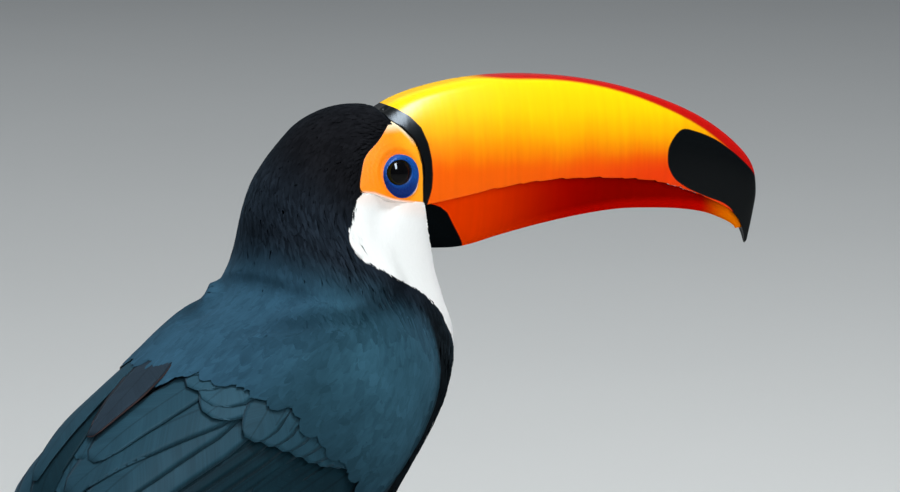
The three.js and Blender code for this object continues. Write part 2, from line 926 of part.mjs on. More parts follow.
// Room that the shank needs in the thigh, and the foot in the shank.
function tarsusRoom(side) {
  const y = -side * FOOT_SPREAD;
  return tube(
    SHANK.map(([x, z]) => bird(x, y, z)),
    [4.2, 3.9, 3.9].map((radius) => radius + GAP),
    8,
  );
}

function footRoom(side) {
  const pad = new THREE.SphereGeometry(6 + GAP, 10, 6);
  pad.scale(1.15, 1.1, 0.85);
  pad.translate(PERCH_X, -side * FOOT_SPREAD, PERCH_TOP + 3.6);
  return union([
    solidOf(pad),
    ...Object.values(TOES).map(([end, out, root, tip]) =>
      toe(side, [end, out, root + GAP, tip + GAP]),
    ),
  ]);
}

place("tail", tail().subtract(bodyRoom), "black_plumage");
place(
  "stand_perch",
  perch.subtract(rod(1, GAP)).subtract(rod(-1, GAP)),
  "bark",
);
place("stand_rod_left", rod(1, 0), "stand");
place("stand_rod_right", rod(-1, 0), "stand");
place("stand_base", base(), "stand");

export default toucan;
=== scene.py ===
"""The looks of a life-size toco toucan that grips a short length of branch on a display stand.

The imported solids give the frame. One skin with a coat of feathers stands for the flesh, and the
wings, the tail, the bill, the bare face, the eyes, the legs and the branch get fine surfaces of
their own. Shapes are worked out in millimetres in the bird's own frame: its origin lies on the
neck's axis at the height of the eyes, +X the way the body faces, +Y the bird's left, +Z up.
"""

import math

import bpy
import numpy as np
from bpy.props import FloatProperty, FloatVectorProperty, PointerProperty
from mathutils import Matrix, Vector
from mathutils.kdtree import KDTree


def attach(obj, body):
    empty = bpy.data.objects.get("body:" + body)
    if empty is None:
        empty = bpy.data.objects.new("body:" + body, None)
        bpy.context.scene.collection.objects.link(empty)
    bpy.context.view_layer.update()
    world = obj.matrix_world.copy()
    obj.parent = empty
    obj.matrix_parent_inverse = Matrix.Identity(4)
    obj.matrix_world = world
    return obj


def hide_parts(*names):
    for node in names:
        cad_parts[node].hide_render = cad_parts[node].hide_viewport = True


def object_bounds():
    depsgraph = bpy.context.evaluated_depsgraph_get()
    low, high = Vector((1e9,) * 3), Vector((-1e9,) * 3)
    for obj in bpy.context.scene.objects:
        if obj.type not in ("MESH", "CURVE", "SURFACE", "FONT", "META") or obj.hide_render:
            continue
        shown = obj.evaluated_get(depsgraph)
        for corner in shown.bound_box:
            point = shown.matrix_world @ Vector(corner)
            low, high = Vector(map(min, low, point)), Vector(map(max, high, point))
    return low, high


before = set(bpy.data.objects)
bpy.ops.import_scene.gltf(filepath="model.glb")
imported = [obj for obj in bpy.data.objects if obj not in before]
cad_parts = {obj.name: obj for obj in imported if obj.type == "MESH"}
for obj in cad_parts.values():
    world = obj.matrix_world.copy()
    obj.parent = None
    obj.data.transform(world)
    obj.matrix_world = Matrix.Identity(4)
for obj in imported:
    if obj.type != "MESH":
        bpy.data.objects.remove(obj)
CAD_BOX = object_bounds()

bl_info = {
    "name": "Toco toucan",
    "version": (1, 0, 0),
    "blender": (4, 5, 0),
    "location": "3D View > Sidebar > Toucan",
    "description": "Builds the plumage, bill, face, legs and perch of a life-size toucan",
    "category": "Add Mesh",
}

MILLIMETRE = 0.001
BIRD_ORIGIN = (34.0, 0.0, 298.0)  # the bird's frame in the part's frame
SIDES = {"right": 1, "left": -1}

# ---- proportions shared by the pieces ----

BODY_PITCH = math.radians(30)  # slope of the body's axis
TAIL_PITCH = math.radians(43)  # how far the tail points below level
HEAD_TURN = math.radians(26)  # turn of the head to the bird's right
AXIS_DROP = 86.0  # from eye height down to the body's axis, below the neck
BODY_FULLNESS = 2.15  # 2 is an ellipse, more is squarer
BODY_END = 20  # last station, inside the bill's base
SKIN_END = 19.9  # last station of the skin and its feathers
EYE_STATION = 16.5  # station of the eyes
NECK_TOP = 13.2  # stations between which the neck's own feathers grow
NECK_FOOT = 10.4
BACK_END = 172  # millimetres back along the body to the end of the torso
TAIL_ROOT = (170, 4)  # where the tail's midplane starts: back along the body, and up

EYE_CENTRE = (29.5, 21.2, 0.8)  # ahead of the neck's axis, out from the midplane, up
EYE_RADIUS = 7.6
EYE_FACING = math.radians(15)  # how far the eyes look forward of sideways
LID_OPENING = (6.7, 5.5, -0.8, 0.4)  # half-width, half-height and shift ahead and up
LID_RING = (9.7, 9.7, 1.1, -1.6)  # the same for the outer edge of the raised ring
LID_THICK = 1.3  # height of the raised ring
LID_OUT = 4.5  # the ring's middle, out from the eyeball's centre

FOOT_SPREAD = 24.0
PERCH_X = -42.0
PERCH_TOP = -214.0
PERCH_RADIUS = 17.0
PERCH_LENGTH = 190.0
PERCH_Z = PERCH_TOP - PERCH_RADIUS


# ---- curves and surfaces ----


def curve_through(rows):
    """A smooth curve through rows of [stop, value, ...]. Between two stops it is the cubic whose
    slope at each is that of the chord between the stops on either side. Past its ends it keeps
    its end row."""
    rows = np.array(rows, float)
    stops, values = rows[:, 0], rows[:, 1:]
    last = len(stops) - 1

    def at(t):
        t = np.clip(np.asarray(t, float), stops[0], stops[last])
        i = np.clip(np.searchsorted(stops, t, side="right") - 1, 0, last - 1)
        before = np.where(i > 0, i - 1, 1)
        after = np.where(i < last - 1, i + 2, last - 1)
        half = (stops[i + 1] - stops[i]) / 2
        pull = half / (stops[i] - stops[before])
        push = half / (stops[after] - stops[i + 1])
        p = (t - stops[i]) / (2 * half)
        weights = (
            -pull * p**3 + 2 * pull * p**2 - pull * p,
            (1 + pull) * p**3 + (-1.5 - 2 * pull) * p**2 + (-0.5 + pull) * p + 1,
            (-1 - push) * p**3 + (1.5 + push) * p**2 + 0.5 * p,
            push * p**3 - push * p**2,
        )
        picks = (before, i, i + 1, after)
        return np.moveaxis(sum(w[..., None] * values[k] for w, k in zip(weights, picks)), -1, 0)

    return at


def ease(low, high, value):
    """0 below low and 1 above high, with a smooth step between them."""
    share = np.clip((value - low) / (high - low), 0, 1)
    return share * share * (3 - 2 * share)


def turned(x, y, z, share=1.0):
    """Points turned about the neck's axis by a share of the head's turn."""
    angle = -HEAD_TURN * share
    cos, sin = np.cos(angle), np.sin(angle)
    return np.stack(np.broadcast_arrays(x * cos - y * sin, x * sin + y * cos, z), -1)


def unturned(points):
    """Points in the head's own frame."""
    cos, sin = math.cos(HEAD_TURN), math.sin(HEAD_TURN)
    x, y, z = np.moveaxis(points, -1, 0)
    return np.stack([x * cos - y * sin, x * sin + y * cos, z], -1)


def wrapped(angle):
    """The angle's distance from the back's midline, either way."""
    return np.abs((angle + math.pi) % (2 * math.pi) - math.pi)


def turns(count, start=0.0):
    """Evenly spaced angles, once round from the start."""
    return np.linspace(start, start + 2 * math.pi, count + 1)[:-1]


def crossed(rows, columns):
    """The row's value and the column's value at every crossing of a grid."""
    return np.meshgrid(rows, columns, indexing="ij")


def unit(vectors):
    """Each vector divided by its length."""
    return vectors / np.linalg.norm(vectors, axis=-1, keepdims=True)


def outline_distance(x, z, outline):
    """Signed distance from a closed outline in a plane, positive inside: the distance to the
    nearest of its edges, with the sign from the number of edges that a level ray crosses."""
    start = np.array(outline, float)
    end = np.roll(start, -1, axis=0)
    nearest = np.full(np.shape(x), 1e9)
    inside = np.zeros(np.shape(x), bool)
    for (ax, az), (bx, bz) in zip(start, end):
        dx, dz = bx - ax, bz - az
        share = np.clip(((x - ax) * dx + (z - az) * dz) / (dx * dx + dz * dz), 0, 1)
        nearest = np.minimum(nearest, np.hypot(x - ax - share * dx, z - az - share * dz))
        if az != bz:
            inside ^= ((az > z) != (bz > z)) & (x < ax + (z - az) * dx / dz)
    return np.where(inside, nearest, -nearest)


def smooth_outline(points, count=160):
    """A dense closed outline on a smooth curve through a few points."""
    points = np.array(points, float)
    rows = [[i, *points[i % len(points)]] for i in range(-2, len(points) + 3)]
    t = np.linspace(0, len(points), count, endpoint=False)
    return np.stack(curve_through(rows)(t), -1)


def ripple(points, seed, scale):
    """A smooth random field from -1 to 1: a sum of sine waves in random directions, in 4 octaves,
    each with waves half as long and two thirds as high as the one before."""
    rng = np.random.default_rng(seed)
    total, height, most = 0.0, 1.0, 0.0
    for octave in range(4):
        for _ in range(4):
            direction = unit(rng.normal(size=3)) * 2 * math.pi * 2**octave / scale
            total = total + height * np.sin(points @ direction + rng.uniform(0, 2 * math.pi))
        most += 2.4 * height
        height *= 0.66
    return np.clip(total / most, -1, 1)


# ---- the body's surface ----

# Along the torso's axis: distance back from below the neck; reach of the back above the axis and
# of the belly below it; half-width.
TORSO = curve_through([
    [18, 48, 71, 54.5],
    [50, 51, 76, 58.5],
    [85, 53, 66, 58],
    [115, 52, 54, 54],
    [140, 46, 40, 45],
    [158, 36, 27, 33],
    [BACK_END, 23, 14, 20],
])


def axis_point(back, lift):
    """A place in the midplane, x and z: back along the body's sloping axis, and square above it."""
    cos, sin = math.cos(BODY_PITCH), math.sin(BODY_PITCH)
    return -cos * back - sin * lift, -AXIS_DROP - sin * back + cos * lift


def tail_line(along, lift):
    """A place in the tail's midplane: along it from the end of the back, and above its middle."""
    x, z = axis_point(*TAIL_ROOT)
    cos, sin = math.cos(TAIL_PITCH), math.sin(TAIL_PITCH)
    return x - along * cos - lift * sin, z - along * sin + lift * cos


def torso_row(back):
    """A station of the body: the torso's back and belly on the line square to its axis."""
    dorsal, ventral, half = TORSO(back)
    return [*axis_point(back, dorsal), *axis_point(back, -ventral), half, 0]


def rump_row(along, top, bottom, half):
    """A station of the body on the tail's midplane."""
    return [*tail_line(along, top), *tail_line(along, -bottom), half, 0]


# Stations from the tail's root to the bill: the back's point x, z and the belly's point x, z in
# the midplane, half-width, and share of the head's turn.
BODY_ROWS = [
    rump_row(40, 5, 4.5, 15.5),
    rump_row(20, 11.5, 8.5, 18),
    *[torso_row(back) for back in (BACK_END, 158, 140, 115, 85, 50, 18)],
    [-36, -42, 54, -123, 51.5, 0.05],
    [-34.5, -30, 66, -101, 47, 0.2],
    [-33, -16, 67, -82, 42, 0.45],
    [-29, -4, 61, -66, 37.5, 0.72],
    [-23.5, 5, 57.5, -56, 34.5, 0.9],
    [-16.5, 13.6, 55.4, -49.5, 32, 1],
    [-8, 22, 54.6, -44.5, 30, 1],
    [2, 27.2, 54.4, -41.5, 28, 1],
    [12, 29.6, 54.5, -39.8, 26.3, 1],
    [22, 29.8, 55, -38.9, 24.3, 1],
    [32, 29, 56.5, -38.4, 21, 1],
    [43, 27, 60, -37.5, 18.6, 1],
]
BODY = curve_through([[i, *row] for i, row in enumerate(BODY_ROWS)])


def rounded(value):
    """A sine or cosine raised to 2 over the fullness, its sign kept: an ellipse made squarer."""
    return np.sign(value) * np.abs(value) ** (2 / BODY_FULLNESS)


def body_point(station, angle, grow=0.0):
    """The body's surface, a loft of squarish ellipses: at each station one stands on the line from
    the back to the belly, and the angle goes round it from the back, positive to the bird's right.
    grow moves the surface out."""
    back_x, back_z, belly_x, belly_z, half, share = BODY(station)
    reach_x, reach_z = back_x - belly_x, back_z - belly_z
    span = np.hypot(reach_x, reach_z)
    up = (span / 2 + grow) * rounded(np.cos(angle))
    return turned(
        (back_x + belly_x) / 2 + reach_x / span * up,
        -(half + grow) * rounded(np.sin(angle)),
        (back_z + belly_z) / 2 + reach_z / span * up,
        share,
    )


class Lengths:
    """Lengths measured on the body along its lines of constant angle, from the tail's end, kept
    in tables that are read by linear interpolation."""

    def __init__(self):
        self.stations = np.linspace(0, BODY_END, 1001)
        self.angles = np.linspace(-math.pi, math.pi, 241)
        points = body_point(self.stations[:, None], self.angles[None, :])
        steps = np.linalg.norm(np.diff(points, axis=0), axis=-1)
        self.run = np.concatenate([np.zeros((1, len(self.angles))), np.cumsum(steps, axis=0)])
        self.reach = np.linspace(0, self.run.max(), 1001)
        columns = [np.interp(self.reach, run, self.stations) for run in self.run.T]
        self.station = np.stack(columns, -1)
        cells = np.cross(
            points[1:, :-1] - points[:-1, :-1], points[:-1, 1:] - points[:-1, :-1]
        )
        self.areas = np.linalg.norm(cells, axis=-1)

    @staticmethod
    def read(table, row, column):
        row = np.clip(row, 0, table.shape[0] - 1.001)
        column = np.clip(column, 0, table.shape[1] - 1.001)
        r, c = row.astype(int), column.astype(int)
        y, x = row - r, column - c
        low = table[r, c] * (1 - x) + table[r, c + 1] * x
        return low * (1 - y) + (table[r + 1, c] * (1 - x) + table[r + 1, c + 1] * x) * y

    def column(self, angle):
        turn = (angle + math.pi) % (2 * math.pi)
        return turn / (2 * math.pi) * (len(self.angles) - 1)

    def length(self, station, angle):
        row = station / BODY_END * (len(self.stations) - 1)
        return self.read(self.run, row, self.column(angle))

    def station_at(self, length, angle):
        row = length / self.reach[-1] * (len(self.reach) - 1)
        return self.read(self.station, row, self.column(angle))


LENGTHS = Lengths()


def girth(station, angle):
    """Millimetres round the body for each radian of angle."""
    step = 0.01
    ahead = body_point(station, angle + step)
    return np.linalg.norm(ahead - body_point(station, angle - step), axis=-1) / (2 * step)


# ---- markings ----

# Side view, in the head's own frame, of the edge where the bill meets the face.
FACE_EDGE = [
    (24, 34), (31, 23.5), (33, 22.2), (36, 20.4), (38.8, 17.5), (41.3, 14.8), (42.9, 11),
    (45, 3.4), (45, -2.7), (43.8, -14), (46, -26), (50, -38.2),
]

# Border of the white bib and the bare patch above it, from the forehead round to the breast:
# station and degrees from the belly's midline.
BIB_BORDER = [
    (20.5, 141), (18.5, 139.2), (17.8, 130), (16.8, 122.8), (15.6, 116.5), (14.7, 109),
    (13.8, 106), (12.8, 107), (12.1, 110.3), (11.5, 113.6), (11.14, 110.5), (11.17, 104),
    (11.25, 95), (11.34, 83), (11.39, 70), (11.2, 60), (10.9, 55), (10.68, 48), (10.5, 40),
    (10.35, 26), (10.2, 12), (10.15, 0),
]
STATION_SCALE = 8.0  # millimetres that a station and a degree stand for in the bib's plane
DEGREE_SCALE = 0.62


def bib_outline():
    """The border as a dense closed outline in the plane of stations and degrees from the belly,
    mirrored beyond the midline so that it closes there."""
    rows = [[i, *point] for i, point in enumerate(BIB_BORDER)]
    t = np.linspace(0, len(rows) - 1, 120)
    station, degrees = curve_through(rows)(t)
    station = np.concatenate([station, [10.15, 40, 40]])
    degrees = np.concatenate([degrees, [-60, -60, 141]])
    return np.stack([station * STATION_SCALE, degrees * DEGREE_SCALE], -1)


def bib_distance(station, angle):
    """Millimetres inside the border of the bib and face, roughly."""
    degrees = 180 - np.degrees(wrapped(angle))
    return outline_distance(station * STATION_SCALE, degrees * DEGREE_SCALE, bib_outline())


def face_edge_x(z):
    """How far forward the face's edge lies at a height, in the head's own frame."""
    edge = np.array(FACE_EDGE[::-1])
    return np.interp(z, edge[:, 1], edge[:, 0])


# Lower edge of the bare patch in side view, from the rear forward.
PATCH_LOW = [
    (9, -5.9), (13, -6.3), (17, -6.9), (25.5, -10.3), (33.2, -12.1), (42.7, -14.1), (46, -15),
]


def patch_distance(points):
    """Millimetres above the lower edge of the bare patch round the eye."""
    x, _, z = np.moveaxis(unturned(points), -1, 0)
    low = np.array(PATCH_LOW)
    return z - np.interp(x, low[:, 0], low[:, 1])


def head_ahead(points):
    """Millimetres ahead of the face's edge, in side view."""
    x, _, z = np.moveaxis(unturned(points), -1, 0)
    return x - face_edge_x(z)


# ---- the folded wing ----

WRAP = 55.0  # radius that turns millimetres round the body into an angle

# Distance back along the body, and the body's station there.
BACK_STATIONS = [
    (-34, 11), (-21, 10), (-6, 9), (18, 8), (50, 7), (85, 6), (115, 5), (140, 4), (158, 3),
    (BACK_END, 2),
]
STATION_AT = curve_through(BACK_STATIONS)
BACK_AT = curve_through([(station, back) for back, station in BACK_STATIONS[::-1]])

# Back along the body; the wing's upper and lower border round the body; how far its middle stands
# out.
WING = curve_through([
    [-30, 84, 100, 0.5],
    [-24, 68, 102, 1.6],
    [-14, 54, 105, 3.8],
    [0, 36, 109, 6.4],
    [20, 21, 107, 8.2],
    [40, 16, 104, 7.4],
    [60, 12, 99, 6.2],
    [100, 9, 95, 5.4],
    [130, 8, 87, 8.5],
    [155, 9, 76, 15],
    [172, 14, 64, 18],
    [190, 28, 50, 20],
    [206, 34, 46, 21],
])
GAP = 0.3


def wing_top(back, around):
    """How far the folded wing's outer surface stands off the body: a rounded hump between the
    wing's two borders."""
    upper, lower, proud = WING(back)
    share = np.clip((around - upper) / (lower - upper), 0, 1)
    return GAP + proud * (0.4 + 0.6 * np.sin(math.pi * share) ** 0.8)


def flank_point(back, around, out, side):
    """A place on the flank: back along the body, round from the back's midline, and out. Past the
    end of the back it goes straight on."""
    (station,) = STATION_AT(back)
    points = body_point(station, side * around / WRAP, out)
    past = np.maximum(0, back - BACK_END)
    points[..., 0] -= math.cos(BODY_PITCH) * past
    points[..., 2] -= math.sin(BODY_PITCH) * past
    return points


# Lowest reach of the back's feathers round the body, over the wing's shoulder, by distance back.
SHAWL = np.array([
    (-34, 100), (-29, 96), (-21, 84), (-9, 66), (6, 50), (17, 42), (35, 30), (46, 19), (54, 12),
    (60, 8), (66, 4), (71, -2), (76, -12), (172, -40),
])
FOLD_DEPTH = 2.8
RUFF_HEIGHT = 3.2  # of the feathers fluffed up at the foot of the neck, over the back


def fold(back, around):
    """How deep in the fold along the lower edge of the back's feathers a place lies, 0 to 1."""
    middle = np.interp(back, SHAWL[:, 0], SHAWL[:, 1]) - 6 - 7 * ease(5, -25, back)
    return np.exp(-(((around - middle) / 6.5) ** 2)) * ease(50, 28, back) * ease(-44, -32, back)


def cover(station, angle):
    """Height of whatever lies on the body under the small feathers: nothing, or the wing. Along
    the back feathers' lower edge, over the wing's shoulder, a shallow fold runs down, and at the
    foot of the neck the back is a little fluffed up."""
    (back,) = BACK_AT(station)
    around = wrapped(angle) * WRAP
    upper, lower, _ = WING(back)
    inside = np.maximum(ease(-5, 5, around - upper), ease(28, 56, back))
    inside = inside * ease(-5, 3, lower - around) * ease(-30, -12, back)
    height = wing_top(back, around) * inside * ease(0.5, 2, station)
    ruff = np.exp(-(((station - 8.1) / 1.1) ** 2)) * ease(75, 30, around)
    return height - FOLD_DEPTH * fold(back, around) + RUFF_HEIGHT * ruff


def white_distance(station, angle):
    """Distance inside the white plumage, which keeps clear of the bare patch's rear edge."""
    near = ease(-3, -1, patch_distance(body_point(station, angle)))
    return bib_distance(station, angle) - 1.6 * near * ease(12.5, 14, station)


# ---- meshes ----


def metres(points):
    """Points of the bird's frame in the part's frame, in metres."""
    return (np.asarray(points) + np.array(BIRD_ORIGIN)) * MILLIMETRE


def volume(points, quads):
    """Volume inside closed quads whose corners run counter-clockwise seen from outside."""
    a, b, c, d = (points[quads[:, k]] for k in range(4))
    return (np.cross(b - a, c - a) * a + np.cross(c - a, d - a) * a).sum() / 6


def new_piece(name, points, faces, material, uv=None, bake_uv=None, values=None,
              normals=None):
    """A piece that rides on the body: its points, its smooth and its flat faces as arrays of
    corner numbers, UV maps and values, all given for each point. Where normals are given, the
    tops and the caps are shaded with them and the quads below with their opposites."""
    smooth = [np.full(len(part), kind == "smooth") for kind in faces for part in faces[kind]]
    faces = [part for kind in faces for part in faces[kind]]
    corners = np.concatenate([part.ravel() for part in faces]).astype(np.int32)
    sizes = np.concatenate([np.full(len(part), part.shape[1]) for part in faces])
    starts = np.concatenate([[0], np.cumsum(sizes)[:-1]]).astype(np.int32)
    mesh = bpy.data.meshes.new(name)
    mesh.vertices.add(len(points))
    mesh.vertices.foreach_set("co", metres(points).astype(np.float32).ravel())
    mesh.loops.add(len(corners))
    mesh.loops.foreach_set("vertex_index", corners)
    mesh.polygons.add(len(sizes))
    mesh.polygons.foreach_set("loop_start", starts)
    mesh.update(calc_edges=True)
    mesh.polygons.foreach_set("use_smooth", np.concatenate(smooth))
    for title, map_uv in (("vane", uv), ("OFBake", bake_uv)):
        if map_uv is not None:
            layer = mesh.uv_layers.new(name=title)
            layer.data.foreach_set("uv", map_uv[corners].astype(np.float32).ravel())
    for title, value in (values or {}).items():
        value = np.asarray(value, np.float32)
        kind = "FLOAT" if value.ndim == 1 else "FLOAT_COLOR"
        field = mesh.attributes.new(title, kind, "POINT")
        if kind == "FLOAT_COLOR":
            value = np.concatenate([value, np.ones((len(value), 1), np.float32)], 1)
        field.data.foreach_set("value" if kind == "FLOAT" else "color", value.ravel())
    mesh.validate()
    if normals is not None:
        above = np.repeat(np.concatenate(smooth) | (sizes != 4), sizes)[:, None]
        mesh.normals_split_custom_set(
            np.where(above, normals[corners], -normals[corners]).tolist())
    mesh.materials.append(material)
    piece = bpy.data.objects.new(name, mesh)
    bpy.context.scene.collection.objects.link(piece)
    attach(piece, "root")
    return piece


def grid_quads(rows, columns, closed=False):
    """Corner numbers of the quads of a grid of points. A closed grid joins its last column to its
    first."""
    across = columns if closed else columns - 1
    r = np.arange(rows - 1)[:, None] * columns
    k = np.arange(across)[None, :]
    right = (k + 1) % columns
    quads = np.stack([r + k, r + right, r + columns + right, r + columns + k], -1)
    return quads.reshape(-1, 4)


def flipped(faces):
    """The same faces, turned inside out."""
    return {kind: [part[:, ::-1] for part in parts] for kind, parts in faces.items()}


def closed_grid(points, values=None):
    """A closed body from rings of points, with a fan of triangles to a middle point at each end.
    Returns flat points, faces that point outwards and the values with the two middles added."""
    rows, columns = points.shape[:2]
    flat = points.reshape(-1, 3)
    flat = np.concatenate([flat, points[:1].mean(1), points[-1:].mean(1)])
    first, last = rows * columns, rows * columns + 1
    k = np.arange(columns)
    right = (k + 1) % columns
    end = (rows - 1) * columns
    start_fan = np.stack([np.full(columns, first), right, k], -1)
    end_fan = np.stack([np.full(columns, last), end + k, end + right], -1)
    quads = grid_quads(rows, columns, closed=True)
    faces = {"smooth": [quads, start_fan, end_fan], "flat": []}
    if volume(flat - flat.mean(0), quads) < 0:
        faces = flipped(faces)
    filled = {}
    for title, value in (values or {}).items():
        ends = [value[:1].mean(1), value[-1:].mean(1)]
        filled[title] = np.concatenate([value.reshape(-1, *value.shape[2:]), *ends])
    return flat, faces, filled


def joined(bodies):
    """Several bodies of (points, faces, values) as one."""
    points, faces, values, start = [], {"smooth": [], "flat": []}, {}, 0
    for body_points, body_faces, body_values in bodies:
        points.append(body_points)
        for kind, parts in body_faces.items():
            faces[kind] += [part + start for part in parts]
        start += len(body_points)
        for title, value in body_values.items():
            values.setdefault(title, []).append(value)
    return np.concatenate(points), faces, {k: np.concatenate(v) for k, v in values.items()}


# ---- feathers ----

PLUME = [(0, 0.35), (0.3, 0.85), (0.6, 1), (0.85, 0.7), (1, 0.16)]
SOFT = [(0, 0.4), (0.3, 0.85), (0.55, 1), (0.76, 0.95), (0.91, 0.7), (1, 0.24)]
BLADE = [(0, 0.5), (0.25, 0.9), (0.5, 1), (0.7, 0.86), (0.86, 0.58), (0.96, 0.36), (1, 0.2)]
LONG_VANE = [(0, 0.45), (0.3, 0.92), (0.62, 1), (0.86, 0.88), (0.96, 0.56), (1, 0.22)]
TAIL_VANE = [(0, 0.45), (0.5, 1), (0.9, 0.95), (0.97, 0.7), (1, 0.35)]
SHORT_VANE = [(0, 0.5), (0.4, 1), (0.75, 0.95), (0.92, 0.66), (1, 0.28)]
BAKE_PATCH = 0.003  # width of a feather's patch on the baking map
BAKE_REACH = 420  # millimetres along a wing or the tail that the baking map's width stands for


def vane_faces(count, rings, around, columns):
    """Faces of closed vanes, each a loft of rings of points, capped at both ends. Their upper
    faces are smooth, and the rest are flat, so that the edges stay crisp."""
    base = (np.arange(count) * rings * around)[:, None, None]
    r = (np.arange(rings - 1) * around)[None, :, None]
    k = np.arange(around)[None, None, :]
    right = (k + 1) % around
    sides = np.stack([base + r + k, base + r + right, base + r + around + right,
                      base + r + around + k], -1)
    top, under = sides[:, :, : columns - 1].reshape(-1, 4), sides[:, :, columns - 1:].reshape(-1, 4)
    ring = np.arange(around)[None, :]
    start = (np.arange(count) * rings * around)[:, None] + ring[:, ::-1]
    end = (np.arange(count) * rings * around + (rings - 1) * around)[:, None] + ring
    return {"smooth": [top], "flat": [under, start, end]}


def vane_grid(outline, rings, columns, under, crowd=1.0):
    """Shares along and across a vane for one ring after another: its top from edge to edge, then
    its underside back. Rings crowd towards the tip. Returns v, u and whether a point is on the
    top, each (rings, points)."""
    v = 1 - (1 - np.linspace(0, 1, rings)) ** crowd
    outline = np.array(outline)
    wide = np.interp(v, outline[:, 0], outline[:, 1])
    top = np.linspace(-1, 1, columns)
    below = np.linspace(1, -1, under + 2)[1:-1]
    u = np.concatenate([top, below])
    face = np.concatenate([np.ones(columns), np.zeros(under)])
    shape = (rings, len(u))
    return (
        np.broadcast_to(v[:, None], shape),
        wide[:, None] * u[None, :],
        np.broadcast_to(u[None, :], shape),
        np.broadcast_to(face[None, :], shape),
    )


def vane_maps(u, v, shape, root_u, root_v):
    """Two UV maps for every point of feathers: across and along the vane, and on the baking map a
    small patch at the root's place."""
    u, v = np.broadcast_to(u, shape), np.broadcast_to(v, shape)
    vane = np.stack([u * 0.5 + 0.5, v], -1)
    bake = np.stack([root_u + u * BAKE_PATCH / 2, root_v + (v - 0.5) * BAKE_PATCH], -1)
    return vane.reshape(-1, 2), bake.reshape(-1, 2)


def spread(value, shape):
    """A value for each feather as one for each of its points."""
    return np.broadcast_to(value, shape).ravel()


def outward(points, faces):
    """The faces, turned inside out where the volume inside them comes out negative."""
    quads = np.concatenate([faces["smooth"][0], faces["flat"][0]])
    return flipped(faces) if volume(points - points.mean(0), quads) < 0 else faces


def coat_normal(station, angle):
    """Outward direction of the surface that the small feathers lie on, from the difference of
    places a little further along it and round it."""

    def across(ahead, turn):
        here, there = (
            body_point(station + k * ahead, angle + k * turn,
                       cover(station + k * ahead, angle + k * turn)) for k in (-1, 1)
        )
        return there - here

    return unit(np.cross(across(0, 0.02), across(0.02, 0)))


def coat(name, roots, look, material, seed, outline=PLUME, rings=5, columns=3):
    """Small feathers on the body. Each grows from its root towards the tail along the body's
    lines, turned by a small slant. Its height eases from under the skin to just over the plumage
    below and settles again at the tip, its middle is arched, and its tip is ragged. Its shading
    takes a calm share of the whole coat's. look gives length, width, depth, lift, settle, arch,
    slant, stray, ragged and calm, each one number or one for each feather."""
    station, angle = roots
    count = len(station)
    rng = np.random.default_rng(seed)
    size = {key: np.broadcast_to(np.asarray(value, float), (count,)) for key, value in look.items()}
    length = size["length"] * rng.uniform(0.82, 1.18, count)
    width = size["width"] * rng.uniform(0.85, 1.15, count)
    slant = size["slant"] + size["stray"] * rng.normal(size=count)
    bend = size["stray"] * rng.normal(size=count) * 0.6
    lift = size["lift"] * rng.uniform(0.6, 1.4, count)
    chance = rng.random(count)
    v, wide, u, _ = vane_grid(outline, rings, columns, 0, 1.5)
    ragged = rng.normal(size=(count, v.shape[1]))[:, None, :] * size["ragged"][:, None, None]

    def each(value):
        return value[:, None, None]

    along = each(length) * (v + ragged * v**3)
    across = each(width) / 2 * wide + each(length * bend) * v**2
    down = along * np.cos(each(slant)) - across * np.sin(each(slant))
    round_ = along * np.sin(each(slant)) + across * np.cos(each(slant))
    here = LENGTHS.length(station, angle)
    stations = LENGTHS.station_at(each(here) - down, np.broadcast_to(each(angle), down.shape))
    angles = each(angle) + round_ / each(girth(station, angle))
    height = cover(stations, angles)
    rise = v * (1 - each(size["settle"]) * v**3)
    height = height - each(size["depth"]) * (1 - v) ** 3.5 + each(lift) * rise
    height = height + each(size["arch"] * width) * (1 - u**2) * (0.5 + 0.5 * v)
    grid = body_point(stations, angles, height)
    calm = coat_normal(stations, angles)
    own = np.cross(np.gradient(grid, axis=1), np.gradient(grid, axis=2))
    own = own / np.maximum(np.linalg.norm(own, axis=-1, keepdims=True), 1e-9)
    own = own * np.sign((own * calm).sum(-1, keepdims=True))
    normals = own + (calm - own) * each(size["calm"])[..., None]
    points = grid.reshape(-1, 3)
    shape = stations.shape
    uv, bake = vane_maps(u, v, shape, each(angle) / (2 * math.pi) + 0.5,
                         each(here) / LENGTHS.reach[-1])
    ragged_border = each(rng.normal(size=count)) * 0.25
    values = {
        "chance": spread(each(chance), shape),
        "white": (white_distance(stations, angles) + ragged_border).ravel(),
        "tone": np.repeat(plumage_tone(station, angle), v.size, axis=0) * 0.4
        + plumage_tone(stations.ravel(), angles.ravel()) * 0.6,
    }
    faces = outward(points, vane_faces(count, rings, shape[2], columns))
    return new_piece(name, points, faces, material, uv, bake, values,
                     normals.reshape(-1, 3))


